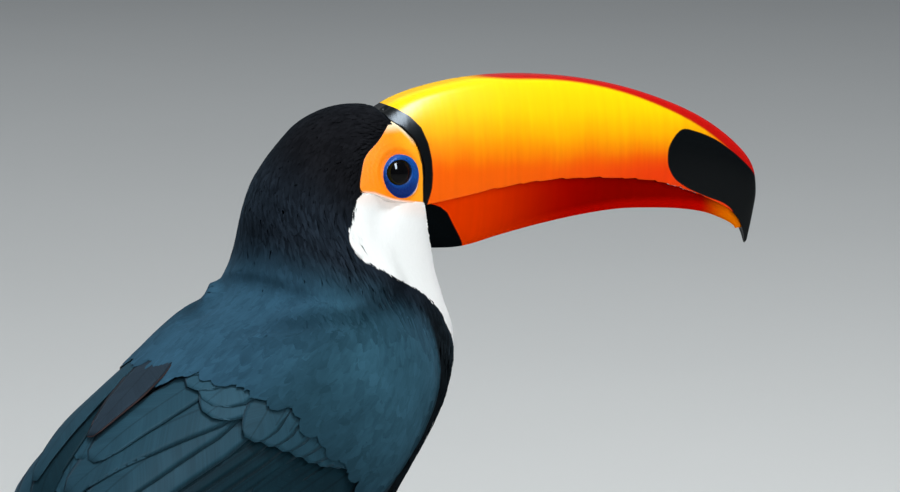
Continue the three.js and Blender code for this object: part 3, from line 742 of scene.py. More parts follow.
def spread_roots(inside, spacing, seed, stations):
    """Evenly scattered roots on the body. Candidates are drawn by area from the cells of a grid,
    kept where inside says so, and dropped where they are nearer than the spacing to one that is
    already kept."""
    rng = np.random.default_rng(seed)
    rows, columns = LENGTHS.areas.shape
    middle = (LENGTHS.stations[:-1] + LENGTHS.stations[1:]) / 2
    share = LENGTHS.areas * ((middle > stations[0]) & (middle < stations[1]))[:, None]
    count = int(share.sum() / spacing**2 * 5)
    cells = rng.choice(share.size, count, p=(share / share.sum()).ravel())
    station = (cells // columns + rng.random(count)) / rows * BODY_END
    angle = ((cells % columns + rng.random(count)) / columns * 2 - 1) * math.pi
    keep = inside(station, angle)
    station, angle = station[keep], angle[keep]
    points = body_point(station, angle)
    tree = KDTree(len(points))
    for i, point in enumerate(points):
        tree.insert(point, i)
    tree.balance()
    dropped = np.zeros(len(points), bool)
    chosen = []
    for i, point in enumerate(points):
        if dropped[i]:
            continue
        chosen.append(i)
        for _, near, _ in tree.find_range(point, spacing):
            dropped[near] = True
    return station[chosen], angle[chosen]


def laid_vanes(surface, tier, outline, rings=12, columns=7, under=3):
    """Long vanes laid on a surface. surface(a, b, out) gives a place, tier holds arrays for the
    vanes: root and tip as (a, b), width, sink below the surface, tilt that lowers the hidden edge,
    root_sink, thick and bow, the sideways bend of the shaft. A ridge along the middle is the shaft.
    Returns points, faces and values."""
    root, tip = np.array(tier["root"], float), np.array(tier["tip"], float)
    count = len(root)
    along = tip - root
    reach = np.linalg.norm(along, axis=-1)
    across = np.stack([-along[:, 1], along[:, 0]], -1) / reach[:, None]
    v, wide, u, top = vane_grid(outline, rings, columns, under)

    def each(key, default=0.0):
        value = np.asarray(tier.get(key, default), float)
        return np.broadcast_to(value, (count,))[:, None, None]

    off = each("width") / 2 * wide + each("bow") * np.sin(math.pi * v * 0.9)
    a = root[:, 0, None, None] + along[:, 0, None, None] * v + across[:, 0, None, None] * off
    b = root[:, 1, None, None] + along[:, 1, None, None] * v + across[:, 1, None, None] * off
    shaft = np.exp(-((u / 0.09) ** 2)) * (1 - v) * 0.22 * top
    curl = each("curl") * np.abs(u) ** 2
    sink = each("sink") + each("root_sink", 2.5) * (1 - v) ** 1.6 - each("tilt") * u + curl
    sink = sink - shaft + each("thick", 0.09) * (1 - top)
    points = surface(a, b, sink).reshape(-1, 3)
    shape = a.shape
    rng = np.random.default_rng(count + int(reach.sum()))
    uv, bake = vane_maps(u, v, shape, root[:, 0, None, None] / BAKE_REACH + 0.2,
                         root[:, 1, None, None] / BAKE_REACH + 0.5)
    values = {
        "chance": spread(rng.random(count)[:, None, None], shape),
        "reach": spread(reach[:, None, None] * v, shape),
        "uv": uv,
        "bake": bake,
        "tone": np.broadcast_to(
            np.array(tier["tone"], float).reshape(-1, 1, 1, 3), shape + (3,)
        ).reshape(-1, 3),
    }
    faces = outward(points, vane_faces(count, rings, shape[2], columns))
    return points, faces, values


def mapped_piece(name, bodies, material):
    """A plumage piece of several bodies, whose values hold their UV maps too."""
    points, faces, values = joined(bodies)
    uv, bake = values.pop("uv"), values.pop("bake")
    return new_piece(name, points, faces, material, uv, bake, values)


# ---- finishes ----


class Finish:
    """A material in the making: adds shader nodes and wires them to its one shader."""

    def __init__(self, name, **settings):
        self.material = bpy.data.materials.new(name)
        self.material.use_nodes = True
        self.tree = self.material.node_tree
        self.shader = self.tree.nodes["Principled BSDF"]
        self.surface(**settings)

    def wire(self, socket, value):
        """Links a socket to another, or sets its value."""
        if isinstance(value, bpy.types.NodeSocket):
            self.tree.links.new(value, socket)
        elif socket.type == "RGBA":
            socket.default_value = (*value[:3], 1)
        else:
            socket.default_value = value

    def node(self, kind, inputs=None, output=0, **settings):
        """Adds a node with its settings and inputs, and returns one of its outputs."""
        made = self.tree.nodes.new("ShaderNode" + kind)
        for key, value in settings.items():
            setattr(made, key, value)
        for key, value in (inputs or {}).items():
            self.wire(made.inputs[key], value)
        return made.outputs[output]

    def surface(self, **inputs):
        """Wires inputs of the shader."""
        for key, value in inputs.items():
            self.wire(self.shader.inputs[key.replace("_", " ")], value)

    def value(self, title):
        return self.node("Attribute", output="Fac", attribute_name=title)

    def colour(self, title):
        return self.node("Attribute", output="Color", attribute_name=title)

    def maths(self, operation, *values):
        return self.node("Math", dict(enumerate(values)), operation=operation)

    def times(self, value, factor):
        return self.maths("MULTIPLY", value, factor)

    def plus(self, value, more):
        return self.maths("ADD", value, more)

    def scaled(self, value, factor, more):
        """The value times the factor, plus more."""
        return self.maths("MULTIPLY_ADD", value, factor, more)

    def mix(self, share, low, high):
        return self.node("Mix", {0: share, 6: low, 7: high}, output=2, data_type="RGBA")

    def step(self, value, low, high, bottom=0.0, top=1.0):
        """From bottom to top as the value goes from low to high, smoothly."""
        inputs = {0: value, 1: low, 2: high, 3: bottom, 4: top}
        return self.node("MapRange", inputs, interpolation_type="SMOOTHSTEP")

    def place(self, scale=(1, 1, 1)):
        """Object coordinates, in metres, stretched along the axes."""
        spot = self.node("TexCoord", output="Object")
        return self.node("Mapping", {"Vector": spot, "Scale": scale})

    def noise(self, vector, scale, detail=3.0, roughness=0.5, distortion=0.0):
        return self.node("TexNoise", {
            "Vector": vector, "Scale": scale, "Detail": detail, "Roughness": roughness,
            "Distortion": distortion,
        })

    def vector(self, x, y, z=0.0):
        return self.node("CombineXYZ", {0: x, 1: y, 2: z})

    def vane_uv(self):
        spot = self.node("UVMap", uv_map="vane")
        return [self.node("SeparateXYZ", {0: spot}, output=k) for k in (0, 1)]

    def tinted(self, colour, share):
        """A colour made darker or brighter by a share round 1."""
        return self.node("VectorMath", {0: colour, "Scale": share}, operation="SCALE")

    def bump(self, height, strength, distance):
        inputs = {"Height": height, "Strength": strength, "Distance": distance}
        self.surface(Normal=self.node("Bump", inputs))


def plumage_finish(name, palette, streaks, sheen, relief=0.22, variety=0.26):
    """Small soft feathers: fine streaks along each vane, a chance difference between feathers,
    darker roots, and the crisp border between the dark coat and the white bib."""
    look = Finish(name, Roughness=0.62, Specular_IOR_Level=0.0)
    look.surface(Sheen_Weight=sheen, Sheen_Roughness=0.45, Sheen_Tint=tuple(palette.sheen))
    u, v = look.vane_uv()
    chance = look.value("chance")
    shift = look.times(chance, 47.0)
    streak = look.noise(
        look.vector(look.times(u, streaks), look.times(v, 1.3), shift),
        1.0, 2.0,
    )
    share = look.scaled(streak, 0.5, 0.73 - variety / 2)
    share = look.scaled(chance, variety, share)
    patchy = look.noise(look.place(), 45.0, 2.0)
    share = look.times(share, look.scaled(patchy, 0.7, 0.65))
    share = look.times(share, look.step(v, 0.0, 0.7, 0.84, 1.03))
    dark = look.tinted(look.colour("tone"), share)
    pale_share = look.scaled(streak, 0.08, 0.95)
    pale = look.tinted(look.mix(look.value("warm"), palette.bib, palette.bib_warm), pale_share)
    white = look.step(look.value("white"), -0.25, 0.25)
    look.surface(Base_Color=look.mix(white, dark, pale))
    look.bump(streak, relief, 0.0003)
    return look.material


def vane_finish(name, palette, sheen=0.06):
    """Long flight feathers: fine barbs that run out and forward from the shaft, paler worn edges
    and a dark shaft."""
    look = Finish(name, Roughness=0.6, Specular_IOR_Level=0.02)
    look.surface(Sheen_Weight=sheen, Sheen_Roughness=0.5, Sheen_Tint=tuple(palette.sheen))
    u, v = look.vane_uv()
    reach = look.value("reach")
    chance = look.value("chance")
    off = look.maths("ABSOLUTE", look.maths("SUBTRACT", u, 0.5))
    barb = look.maths("SUBTRACT", reach, look.times(off, 18.0))
    seed = look.times(chance, 31.0)
    line = look.noise(look.vector(barb, look.times(u, 0.6), seed), 1.1, 3.0, 0.6)
    broad = look.noise(look.vector(barb, look.times(u, 3.0), seed), 0.16, 2.0)
    share = look.scaled(line, 0.5, 0.46)
    share = look.scaled(broad, 0.5, look.plus(share, -0.04))
    share = look.scaled(chance, 0.14, share)
    shaft = look.step(off, 0.01, 0.035, 0.72, 1.0)
    base = look.tinted(look.colour("tone"), look.times(share, shaft))
    worn = look.step(off, 0.44, 0.5, 0.0, 0.02)
    look.surface(Base_Color=look.mix(worn, base, palette.worn))
    look.bump(line, 0.2, 0.0003)
    return look.material


def bill_finish(name, palette, upper):
    """Horny bill: its colours run from the ridge to the cutting edge and along it, with black
    markings, faint growth lines and a soft polish. On the lower half, the darker red below the
    cutting edge is partly painted shade."""
    look = Finish(name, Roughness=0.26, Specular_IOR_Level=0.1 if upper else 0.0)
    rise, reach = look.value("rise"), look.value("reach")
    waver = look.noise(look.vector(look.times(reach, 0.05), look.times(rise, 0.02)), 1.0)
    line = look.noise(look.vector(look.times(reach, 0.32), look.times(rise, 0.025)), 1.0)
    if upper:
        level = look.scaled(waver, 9.0, look.plus(rise, -4.5))
        level = look.scaled(line, 3.0, look.plus(level, -1.5))
        level = look.plus(level, look.step(reach, 50.0, 165.0, 1.0, 6.5))
        base = look.mix(look.step(level, -1.0, 19.0), palette.bill_orange, palette.bill_amber)
        base = look.mix(look.step(level, 12.0, 31.0), base, palette.bill_yellow)
        forward = look.step(reach, 84.0, 172.0)
        low = look.times(look.step(level, 15.0, -3.0), forward)
        base = look.mix(low, base, palette.bill_red)
        stripe = look.step(look.value("culmen"), -0.8, 0.5)
        base = look.mix(stripe, base, palette.culmen)
    else:
        base = look.mix(look.step(reach, 58.0, 128.0), palette.lower_orange, palette.lower_red)
        # Forward of the middle, the lower half darkens away from its keel. This is partly its own
        # dark red and partly painted shade under the upper half's cutting edge.
        deep = look.times(look.step(reach, 66.0, 150.0), look.step(rise, 2.0, 7.0))
        base = look.mix(deep, base, palette.lower_dark_and_shade)
        base = look.mix(look.step(reach, 192.0, 211.0), base, palette.lower_tip)
    base = look.tinted(base, look.scaled(line, 0.16, 0.92))
    black = look.step(look.value("black"), -0.3, 0.3)
    look.surface(Base_Color=look.mix(black, base, palette.bill_black))
    look.bump(line, 0.12, 0.0006)
    return look.material


def face_finish(palette):
    """Bare skin round the eye: its colours come with the mesh, and fine wrinkles and pores."""
    look = Finish("face_skin", Roughness=0.42, Specular_IOR_Level=0.1)
    grain = look.noise(look.place(), 900.0, 3.0, 0.6)
    patchy = look.noise(look.place(), 160.0, 2.0)
    share = look.scaled(grain, 0.18, 0.82)
    share = look.scaled(patchy, 0.16, share)
    look.surface(Base_Color=look.tinted(look.colour("tone"), share))
    fold = look.node("TexVoronoi", {"Vector": look.place(), "Scale": 620.0})
    height = look.scaled(fold, 0.6, grain)
    look.bump(height, 0.22, 0.0004)
    return look.material


def eye_finish(palette):
    """A wet dark eye: a black pupil in a dark olive iris with fine rays."""
    look = Finish("wet_eye", Roughness=0.1, Coat_Weight=0.2, Coat_Roughness=0.02)
    look.surface(Specular_IOR_Level=0.0)
    out, turn = look.value("out"), look.value("turn")
    rays = look.noise(look.vector(look.times(turn, 9.0), out), 1.0, 3.0)
    iris = look.tinted(palette.iris, look.scaled(rays, 1.3, 0.35))
    rim = look.step(out, 6.0, 6.7)
    iris = look.mix(rim, iris, (0.004, 0.004, 0.005))
    look.surface(Base_Color=look.mix(look.step(out, 4.9, 5.2), (0.0015, 0.0015, 0.002), iris))
    return look.material


def scale_finish(name, palette):
    """Scaly skin of the legs: blue-grey plates with darker seams and a faint dry bloom."""
    look = Finish(name, Roughness=0.5, Specular_IOR_Level=0.4)
    seam = look.value("seam")
    grain = look.noise(look.place(), 1400.0, 3.0, 0.6)
    patchy = look.noise(look.place(), 180.0, 3.0)
    tone = look.mix(look.step(patchy, 0.35, 0.7), palette.leg, palette.leg_pale)
    share = look.scaled(seam, -0.55, 1.0)
    share = look.scaled(grain, 0.3, look.plus(share, -0.15))
    look.surface(Base_Color=look.tinted(tone, share))
    look.bump(grain, 0.3, 0.0003)
    return look.material


def horn_finish(palette):
    """Black horn of the claws, with lengthwise grain and a worn, paler tip."""
    look = Finish("claw_horn", Roughness=0.3, Specular_IOR_Level=0.5, Coat_Weight=0.2)
    along = look.value("along")
    grain = look.noise(look.place(), 1500.0, 4.0, 0.6)
    worn = look.step(along, 0.45, 1.0, 0.0, 0.5)
    base = look.mix(worn, palette.claw, palette.claw_worn)
    look.surface(Base_Color=look.tinted(base, look.scaled(grain, 0.8, 0.6)))
    look.bump(grain, 0.15, 0.0002)
    return look.material


def bark_finish(palette):
    """Dry bark: grey-brown plates over darker cracks, with pale lichen-like bloom in spots. The
    sawn ends show rings round the pith."""
    look = Finish("dry_bark", Roughness=0.85, Specular_IOR_Level=0.2)
    spot = look.place((1, 0.35, 1))
    crack = look.noise(spot, 420.0, 5.0, 0.65, 0.4)
    broad = look.noise(look.place(), 60.0, 3.0)
    base = look.mix(look.step(crack, 0.38, 0.62), palette.bark_dark, palette.bark)
    bloom = look.times(look.step(broad, 0.52, 0.68), look.step(crack, 0.5, 0.6))
    base = look.mix(look.times(bloom, 0.6), base, palette.bark_pale)
    ring = look.value("ring")
    grown = look.maths("SINE", look.scaled(broad, 5.0, look.times(ring, 7.0)))
    wood = look.mix(look.step(grown, -0.6, 0.9), palette.wood_dark, palette.wood)
    cut = look.step(look.value("cut"), 0.4, 0.6)
    look.surface(Base_Color=look.mix(cut, base, wood))
    look.bump(crack, 0.7, 0.0016)
    return look.material


def stand_finish(palette):
    """Satin lacquer on the stand: almost even, with fine orange peel and a trace of dust."""
    look = Finish("stand_lacquer", Roughness=0.38, Specular_IOR_Level=0.5, Coat_Weight=0.3)
    peel = look.noise(look.place(), 1100.0, 2.0)
    dust = look.noise(look.place(), 25.0, 5.0, 0.65)
    share = look.step(dust, 0.4, 0.8, 0.0, 0.25)
    look.surface(Base_Color=look.mix(share, palette.stand, palette.stand_dust))
    look.surface(Roughness=look.step(dust, 0.3, 0.8, 0.34, 0.5))
    look.bump(peel, 0.08, 0.0003)
    return look.material


def floor_finish(stage):
    """Plain matt floor, almost even."""
    look = Finish("studio_floor", Roughness=0.8, Specular_IOR_Level=0.2)
    soft = look.noise(look.place(), 3.0, 4.0)
    share = look.scaled(soft, 0.03, 0.985)
    look.surface(Base_Color=look.tinted(tuple(stage.floor), share))
    return look.material


# ---- what a user can change ----


def millimetres(title, text, default, low=0.0):
    """A length that a user can change, given in millimetres."""
    return FloatProperty(name=title, description=text + ", in millimetres", default=default,
                         min=low)


def colour(title, text, default):
    """A colour that a user can change."""
    return FloatVectorProperty(name=title, description=text, default=default, subtype="COLOR",
                               size=3, min=0.0, max=1.0)


class ToucanSizes(bpy.types.PropertyGroup):
    """Sizes of the feathers and of the markings."""

    head_feather: millimetres("Head feather", "Length of a feather on the crown", 7.0)
    head_spacing: millimetres("Head spacing", "Distance between roots on the head", 1.15, 0.8)
    neck_feather: millimetres("Neck feather", "Length of a feather on the neck", 10.0)
    neck_spacing: millimetres("Neck spacing", "Distance between roots on the neck", 1.35, 0.8)
    bib_feather: millimetres("Bib feather", "Length of a feather in the white bib", 8.0)
    bib_spacing: millimetres("Bib spacing", "Distance between roots in the bib", 1.25, 0.8)
    back_feather: millimetres("Back feather", "Length of a feather on the back", 15.0)
    back_spacing: millimetres("Back spacing", "Distance between roots on the back", 1.8, 0.8)
    belly_feather: millimetres("Belly feather", "Length of a feather on the belly", 16.0)
    belly_spacing: millimetres("Belly spacing", "Distance between roots on the belly", 2.7, 0.8)
    covert: millimetres("Lesser covert", "Length of a small covert on the wing's shoulder", 15.0)
    covert_spacing: millimetres("Covert spacing", "Distance between small coverts", 2.5, 0.8)
    stripe: millimetres("Ridge stripe", "Greatest width of the red stripe on the bill", 4.8)


class ToucanColours(bpy.types.PropertyGroup):
    """Colours of the plumage, the bare parts, the branch and the stand."""

    crown: colour("Crown", "Crown and cheeks", (0.0068, 0.0072, 0.0088))
    nape: colour("Nape", "Back and sides of the neck", (0.0105, 0.0158, 0.0235))
    # The mantle's and the wing's slate-blue is partly the plumage's own tone and partly painted sky
    # reflection.
    mantle: colour("Mantle", "Upper back", (0.022, 0.064, 0.103))
    wing: colour("Wing", "Coverts of the wing", (0.024, 0.074, 0.110))
    # The flight feathers' colour is partly their own dark tone and partly painted shade below the
    # coverts.
    wing_low_and_shade: colour("Wing low", "Flight feathers", (0.0036, 0.018, 0.027))
    worn: colour("Worn edge", "Worn edges of the long feathers", (0.06, 0.10, 0.12))
    brown: colour("Brown", "Oldest feathers of the left wing", (0.0135, 0.024, 0.036))
    russet: colour("Russet", "Faded edge of the oldest feather", (0.050, 0.030, 0.030))
    belly: colour("Belly", "Breast and belly", (0.0030, 0.0042, 0.0048))
    sheen: colour("Sheen", "Soft gloss of the plumage", (0.45, 0.68, 0.90))
    bib: colour("Bib", "White throat and breast", (0.83, 0.855, 0.85))
    bib_warm: colour("Bib tint", "Upper edge of the bib", (0.86, 0.74, 0.68))
    rump: colour("Rump", "White feathers over the tail's root", (0.78, 0.78, 0.74))
    vent: colour("Vent", "Red feathers under the tail's root", (0.50, 0.012, 0.006))
    bill_yellow: colour("Bill yellow", "Upper part of the upper bill", (0.96, 0.60, 0.0))
    bill_amber: colour("Bill amber", "Middle of the upper bill", (0.96, 0.37, 0.0))
    bill_orange: colour("Bill orange", "Lower part of the upper bill", (0.90, 0.115, 0.0))
    bill_red: colour("Bill red", "Cutting edge near the tip", (0.86, 0.045, 0.0))
    culmen: colour("Ridge", "Stripe along the ridge", (0.46, 0.004, 0.002))
    lower_orange: colour("Lower orange", "Base of the lower bill", (0.76, 0.040, 0.0))
    lower_red: colour("Lower red", "Middle of the lower bill", (0.52, 0.002, 0.0))
    # The lower bill's dark red is partly its own colour and partly painted shade below the upper
    # half's cutting edge.
    lower_dark_and_shade: colour("Lower dark red", "Underside of the lower bill", (0.24, 0.001, 0.0))
    lower_tip: colour("Lower tip", "Tip of the lower bill", (0.80, 0.17, 0.0))
    bill_black: colour("Bill black", "Band, tip and base patch", (0.0018, 0.0028, 0.0034))
    face: colour("Face", "Bare skin round the eye", (0.95, 0.255, 0.002))
    face_front: colour("Face front", "Bare skin ahead of the eye", (0.97, 0.39, 0.010))
    face_cream: colour("Face cream", "Pale wedge at the patch's front", (0.85, 0.74, 0.50))
    face_deep: colour("Face deep", "Bare skin next to the ring", (0.78, 0.15, 0.002))
    # The ring's upper colour is its blue as lit from above; the lower colour is the same blue as
    # painted shade.
    ring: colour("Ring", "Upper part of the ring round the eye", (0.002, 0.062, 0.31))
    ring_shaded: colour("Ring low", "Lower part of the ring", (0.001, 0.022, 0.17))
    iris: colour("Iris", "Iris", (0.022, 0.017, 0.003))
    leg: colour("Leg", "Scales of the legs", (0.11, 0.21, 0.36))
    leg_pale: colour("Leg pale", "Worn scales of the legs", (0.20, 0.32, 0.45))
    claw: colour("Claw", "Claws", (0.010, 0.010, 0.011))
    claw_worn: colour("Claw worn", "Worn tips of the claws", (0.07, 0.06, 0.05))
    bark: colour("Bark", "Plates of the bark", (0.16, 0.105, 0.065))
    bark_dark: colour("Bark dark", "Cracks of the bark", (0.030, 0.020, 0.014))
    bark_pale: colour("Bark pale", "Bloom on the bark", (0.33, 0.32, 0.25))
    wood: colour("Wood", "Sawn end of the branch", (0.50, 0.34, 0.18))
    wood_dark: colour("Wood dark", "Rings of the sawn end", (0.30, 0.17, 0.08))
    stand: colour("Stand", "Base and rods", (0.018, 0.018, 0.019))
    stand_dust: colour("Stand dust", "Dust on the stand", (0.06, 0.06, 0.058))


class ToucanStage(bpy.types.PropertyGroup):
    """The studio: camera, floor and lights."""

    azimuth: FloatProperty(name="Azimuth", description="How far the view is turned from the "
                           "body's side", default=math.radians(48), subtype="ANGLE")
    elevation: FloatProperty(name="Elevation", description="How far the camera looks down",
                             default=math.radians(10), subtype="ANGLE")
    distance: FloatProperty(name="Distance", description="From the camera to the right eye",
                            default=1.4, unit="LENGTH")
    focal: FloatProperty(name="Focal length", description="Of the camera's lens", default=124.44,
                         unit="CAMERA")
    floor: colour("Floor", "Floor and surroundings", (0.60, 0.61, 0.60))
    key: FloatProperty(name="Key light", description="Power of the soft light overhead",
                       default=18.0, unit="POWER")
    fill: FloatProperty(name="Fill light", description="Power of the large light at the front",
                        default=36.0, unit="POWER")
    gloss: FloatProperty(name="Gloss light", description="Power of the strip that only shows in "
                         "reflections", default=145.0, unit="POWER")
    sky: FloatProperty(name="Ceiling light", description="Power of the wide light on the floor",
                       default=50.0, unit="POWER")
    world: FloatProperty(name="Surroundings", description="Strength of the even light",
                         default=0.2)


def sizes():
    """The sizes that a user can change."""
    return bpy.context.scene.toucan_sizes


def palette():
    """The colours that a user can change."""
    return bpy.context.scene.toucan_colours


# ---- skin ----


def skin_depth(station):
    """How far the skin lies under the plumage's surface: the coat's depth, least on the head."""
    return 1.6 - 0.8 * ease(9, 14, station)


def under_patch(station, angle):
    """How much deeper the head's skin lies where the bare patch covers it."""
    high = ease(-0.5, 1.5, patch_distance(body_point(station, angle)))
    return 1.6 * high * ease(0, 1.5, bib_distance(station, angle)) * ease(13, 14, station)


def under_bill(points):
    """How much deeper the head's skin lies where the bill covers it."""
    return np.clip(head_ahead(points) + 0.6, 0, 9) * 1.3


def plumage_tone(station, angle):
    """Colour of the dark plumage: black on the crown, slate on the mantle and the wings, black
    again on the breast and belly. The slate is partly the plumage's own tone and partly painted
    sky reflection. The wing is darkened towards the rear, and in the fold over its shoulder, as
    painted shade."""
    look = palette()
    around = wrapped(angle)
    crown, nape, mantle, wing, belly = (
        np.array(c) for c in (look.crown, look.nape, look.mantle, look.wing, look.belly)
    )
    neck = ease(14.6, 11.4, station)[:, None]
    front = 0.5 * ease(0.9, 1.4, around)
    back = ease(10.6 + front, 8.7 + front, station)[:, None]
    tone = crown + (nape - crown) * neck
    tone = tone + (mantle - tone) * back
    (spot,) = BACK_AT(station)
    # Painted shade: the wing's colour is darkened towards the rear, where less light falls.
    wing = wing * (0.48 + 0.56 * ease(66, 0, spot))[:, None]
    tone = tone + (wing - tone) * (back * ease(0.35, 1.0, around)[:, None])
    lower = WING(spot)[1] / WRAP
    under = (ease(-0.10, 0.05, around - lower) * ease(12.0, 10.5, station))[:, None]
    front = (ease(1.75, 2.0, around) * ease(13, 10, station))[:, None]
    # Painted shade: the fold along the back feathers' lower edge is darkened on top of its real
    # depth.
    tone = tone * (1 - 0.72 * fold(spot, around * WRAP))[:, None]
    return tone + (belly - tone) * np.maximum(under, front)


def thigh_path(side):
    """The thigh's middle line with its radius, from inside the belly to the heel."""
    y = -side * FOOT_SPREAD
    return curve_through([
        [0, -48, y, -150, 18],
        [1, -60, y, -170, 18],
        [2, -67, y, -182, 15],
        [3, -70, y, -190, 11],
        [4, -69, y, -196, 6],
    ])


def tube_point(path, t, angle, grow=0.0):
    """A round tube along a path of x, y, z and radius: at each place a circle stands square to
    the path, and the angle goes round it from the side away from the body's midline."""
    x, y, z, radius = path(t)
    step = 0.01
    along = unit(np.stack(path(t + step)[:3] - path(t - step)[:3], -1))
    level = np.array([0.0, 1.0, 0.0])
    across = unit(level - along * (along @ level)[..., None])
    over = np.cross(along, across)
    reach = np.asarray(radius + grow)[..., None]
    middle = np.stack([x, y, z], -1)
    return middle + reach * (across * np.cos(angle)[..., None] + over * np.sin(angle)[..., None])


def build_skin():
    """The one skin: the body's surface drawn in by the coat's depth, deeper where the bill covers
    it, and the thighs as tubes drawn in likewise."""
    station, angle = crossed(np.linspace(0, SKIN_END, 280), turns(160, -math.pi))
    (back,) = BACK_AT(station)
    grow = -0.12 - (skin_depth(station) - 0.12) * (1 - ease(1, 4, bib_distance(station, angle)))
    grow = grow - FOLD_DEPTH * fold(back, wrapped(angle) * WRAP)
    grow = grow - under_bill(body_point(station, angle, grow)) * ease(13.5, 15, station)
    grow = grow - under_patch(station, angle)
    values = {
        "white": white_distance(station, angle),
        "tone": plumage_tone(station.ravel(), angle.ravel()).reshape(*station.shape, 3),
        "uv": np.stack([angle * 9, station], -1),
        "bake": np.stack([angle / (2 * math.pi) + 0.5,
                          LENGTHS.length(station, angle) / LENGTHS.reach[-1]], -1),
    }
    bodies = [closed_grid(body_point(station, angle, grow), values)]
    for side in SIDES.values():
        t, turn = crossed(np.linspace(0, 4, 40), turns(48))
        points = tube_point(thigh_path(side), t, turn, -2.0)
        flat = np.ones(t.shape)
        thigh_values = {
            "white": -9 * flat,
            "tone": flat[..., None] * np.array(palette().belly),
            "uv": np.stack([turn * 3, t], -1),
            "bake": np.stack([turn / 70, 0.94 + side * 0.02 + t / 400], -1),
        }
        bodies.append(closed_grid(points, thigh_values))
    skin = mapped_piece("skin", bodies, plumage_finish("skin", palette(), 3.0, 0.05))
    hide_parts("torso", "neck", "head", "thigh_right", "thigh_left")
    return skin


# ---- face and eyes ----


def eye_frame(side):
    """The eyeball's centre, the way it faces, and the directions forward and up in its face."""
    x, out, z = EYE_CENTRE
    centre = turned(np.array(x), np.array(-side * out), np.array(z))
    facing = unit(turned(np.array(math.sin(EYE_FACING)), np.array(-side * math.cos(EYE_FACING)),
                         np.array(0.05)))
    up = unit(np.array([0, 0, 1.0]) - facing * facing[2])
    forward = np.cross(up, facing) * side
    return centre, facing, forward, up


def beneath(side, ahead, above, grow=0.0):
    """Stations and angles of the body's surface that lie at given distances ahead of and above
    the eye, seen the way it faces. Newton's method, with slopes from small steps."""
    centre, _, forward, up = eye_frame(side)
    station = np.full(np.shape(ahead), EYE_STATION)
    angle = np.full(np.shape(ahead), side * 1.6)

    def miss(s, a):
        off = body_point(s, a, grow) - centre
        return off @ forward - ahead, off @ up - above

    for _ in range(14):
        f, g = miss(station, angle)
        f_s, g_s = (b - a for a, b in zip((f, g), miss(station + 1e-3, angle)))
        f_a, g_a = (b - a for a, b in zip((f, g), miss(station, angle + 1e-3)))
        det = f_s * g_a - f_a * g_s
        det = np.where(np.abs(det) < 1e-12, 1e-12, det)
        station = np.clip(station - np.clip((f * g_a - f_a * g) / det * 1e-3, -1.5, 1.5), 11, 20)
        angle = angle - np.clip((f_s * g - f * g_s) / det * 1e-3, -0.3, 0.3)
    return station, angle


# Outline of the bare patch in side view, from its top at the bill's band round the rear.
PATCH_OUTLINE = [
    (29.6, 22.0), (22.6, 15.8), (15.0, 9.6), (11.9, 3.0), (10.6, -5.0), (17.0, -7.1),
    (25.4, -10.4), (33.2, -12.2), (40, -13.4), (46.0, -15.2), (46.4, -6), (46.2, 2), (44.2, 9.5),
    (40.2, 15.8), (36.4, 20.0), (33.6, 22.8),
]


def patch_reach(side, turn):
    """How far the bare patch reaches from the eye in each direction in the eye's face: the
    outline's points are found on the head's surface, and joined by straight lines round the eye."""
    centre, _, forward, up = eye_frame(side)
    outline = smooth_outline(PATCH_OUTLINE, 120)
    station = np.full(len(outline), EYE_STATION)
    angle = np.full(len(outline), side * 1.5)
    for _ in range(14):
        here = unturned(body_point(station, angle))
        by_s = unturned(body_point(station + 1e-3, angle)) - here
        by_a = unturned(body_point(station, angle + 1e-3)) - here
        f, g = here[:, 0] - outline[:, 0], here[:, 2] - outline[:, 1]
        det = by_s[:, 0] * by_a[:, 2] - by_a[:, 0] * by_s[:, 2]
        step_s = (f * by_a[:, 2] - by_a[:, 0] * g) / det * 1e-3
        step_a = (by_s[:, 0] * g - f * by_s[:, 2]) / det * 1e-3
        station = np.clip(station - np.clip(step_s, -1.5, 1.5), 11, 20)
        angle = angle - np.clip(step_a, -0.3, 0.3)
    off = body_point(station, angle) - centre
    ahead, above = off @ forward, off @ up
    around = np.arctan2(above, ahead)
    order = np.argsort(around)
    return np.interp(turn, around[order], np.hypot(ahead, above)[order], period=2 * math.pi)


def ellipse_reach(turn, a, b, dx, dz):
    """Reach of an ellipse in each direction from the eye, where its middle stands off the eye by
    dx and dz. Along a direction it is met where the quadratic for
    (r cos - dx)^2 / a^2 + (r sin - dz)^2 / b^2 = 1 is solved."""
    p = (np.cos(turn) / a) ** 2 + (np.sin(turn) / b) ** 2
    q = dx * np.cos(turn) / a**2 + dz * np.sin(turn) / b**2
    return (q + np.sqrt(q * q - p * ((dx / a) ** 2 + (dz / b) ** 2 - 1))) / p


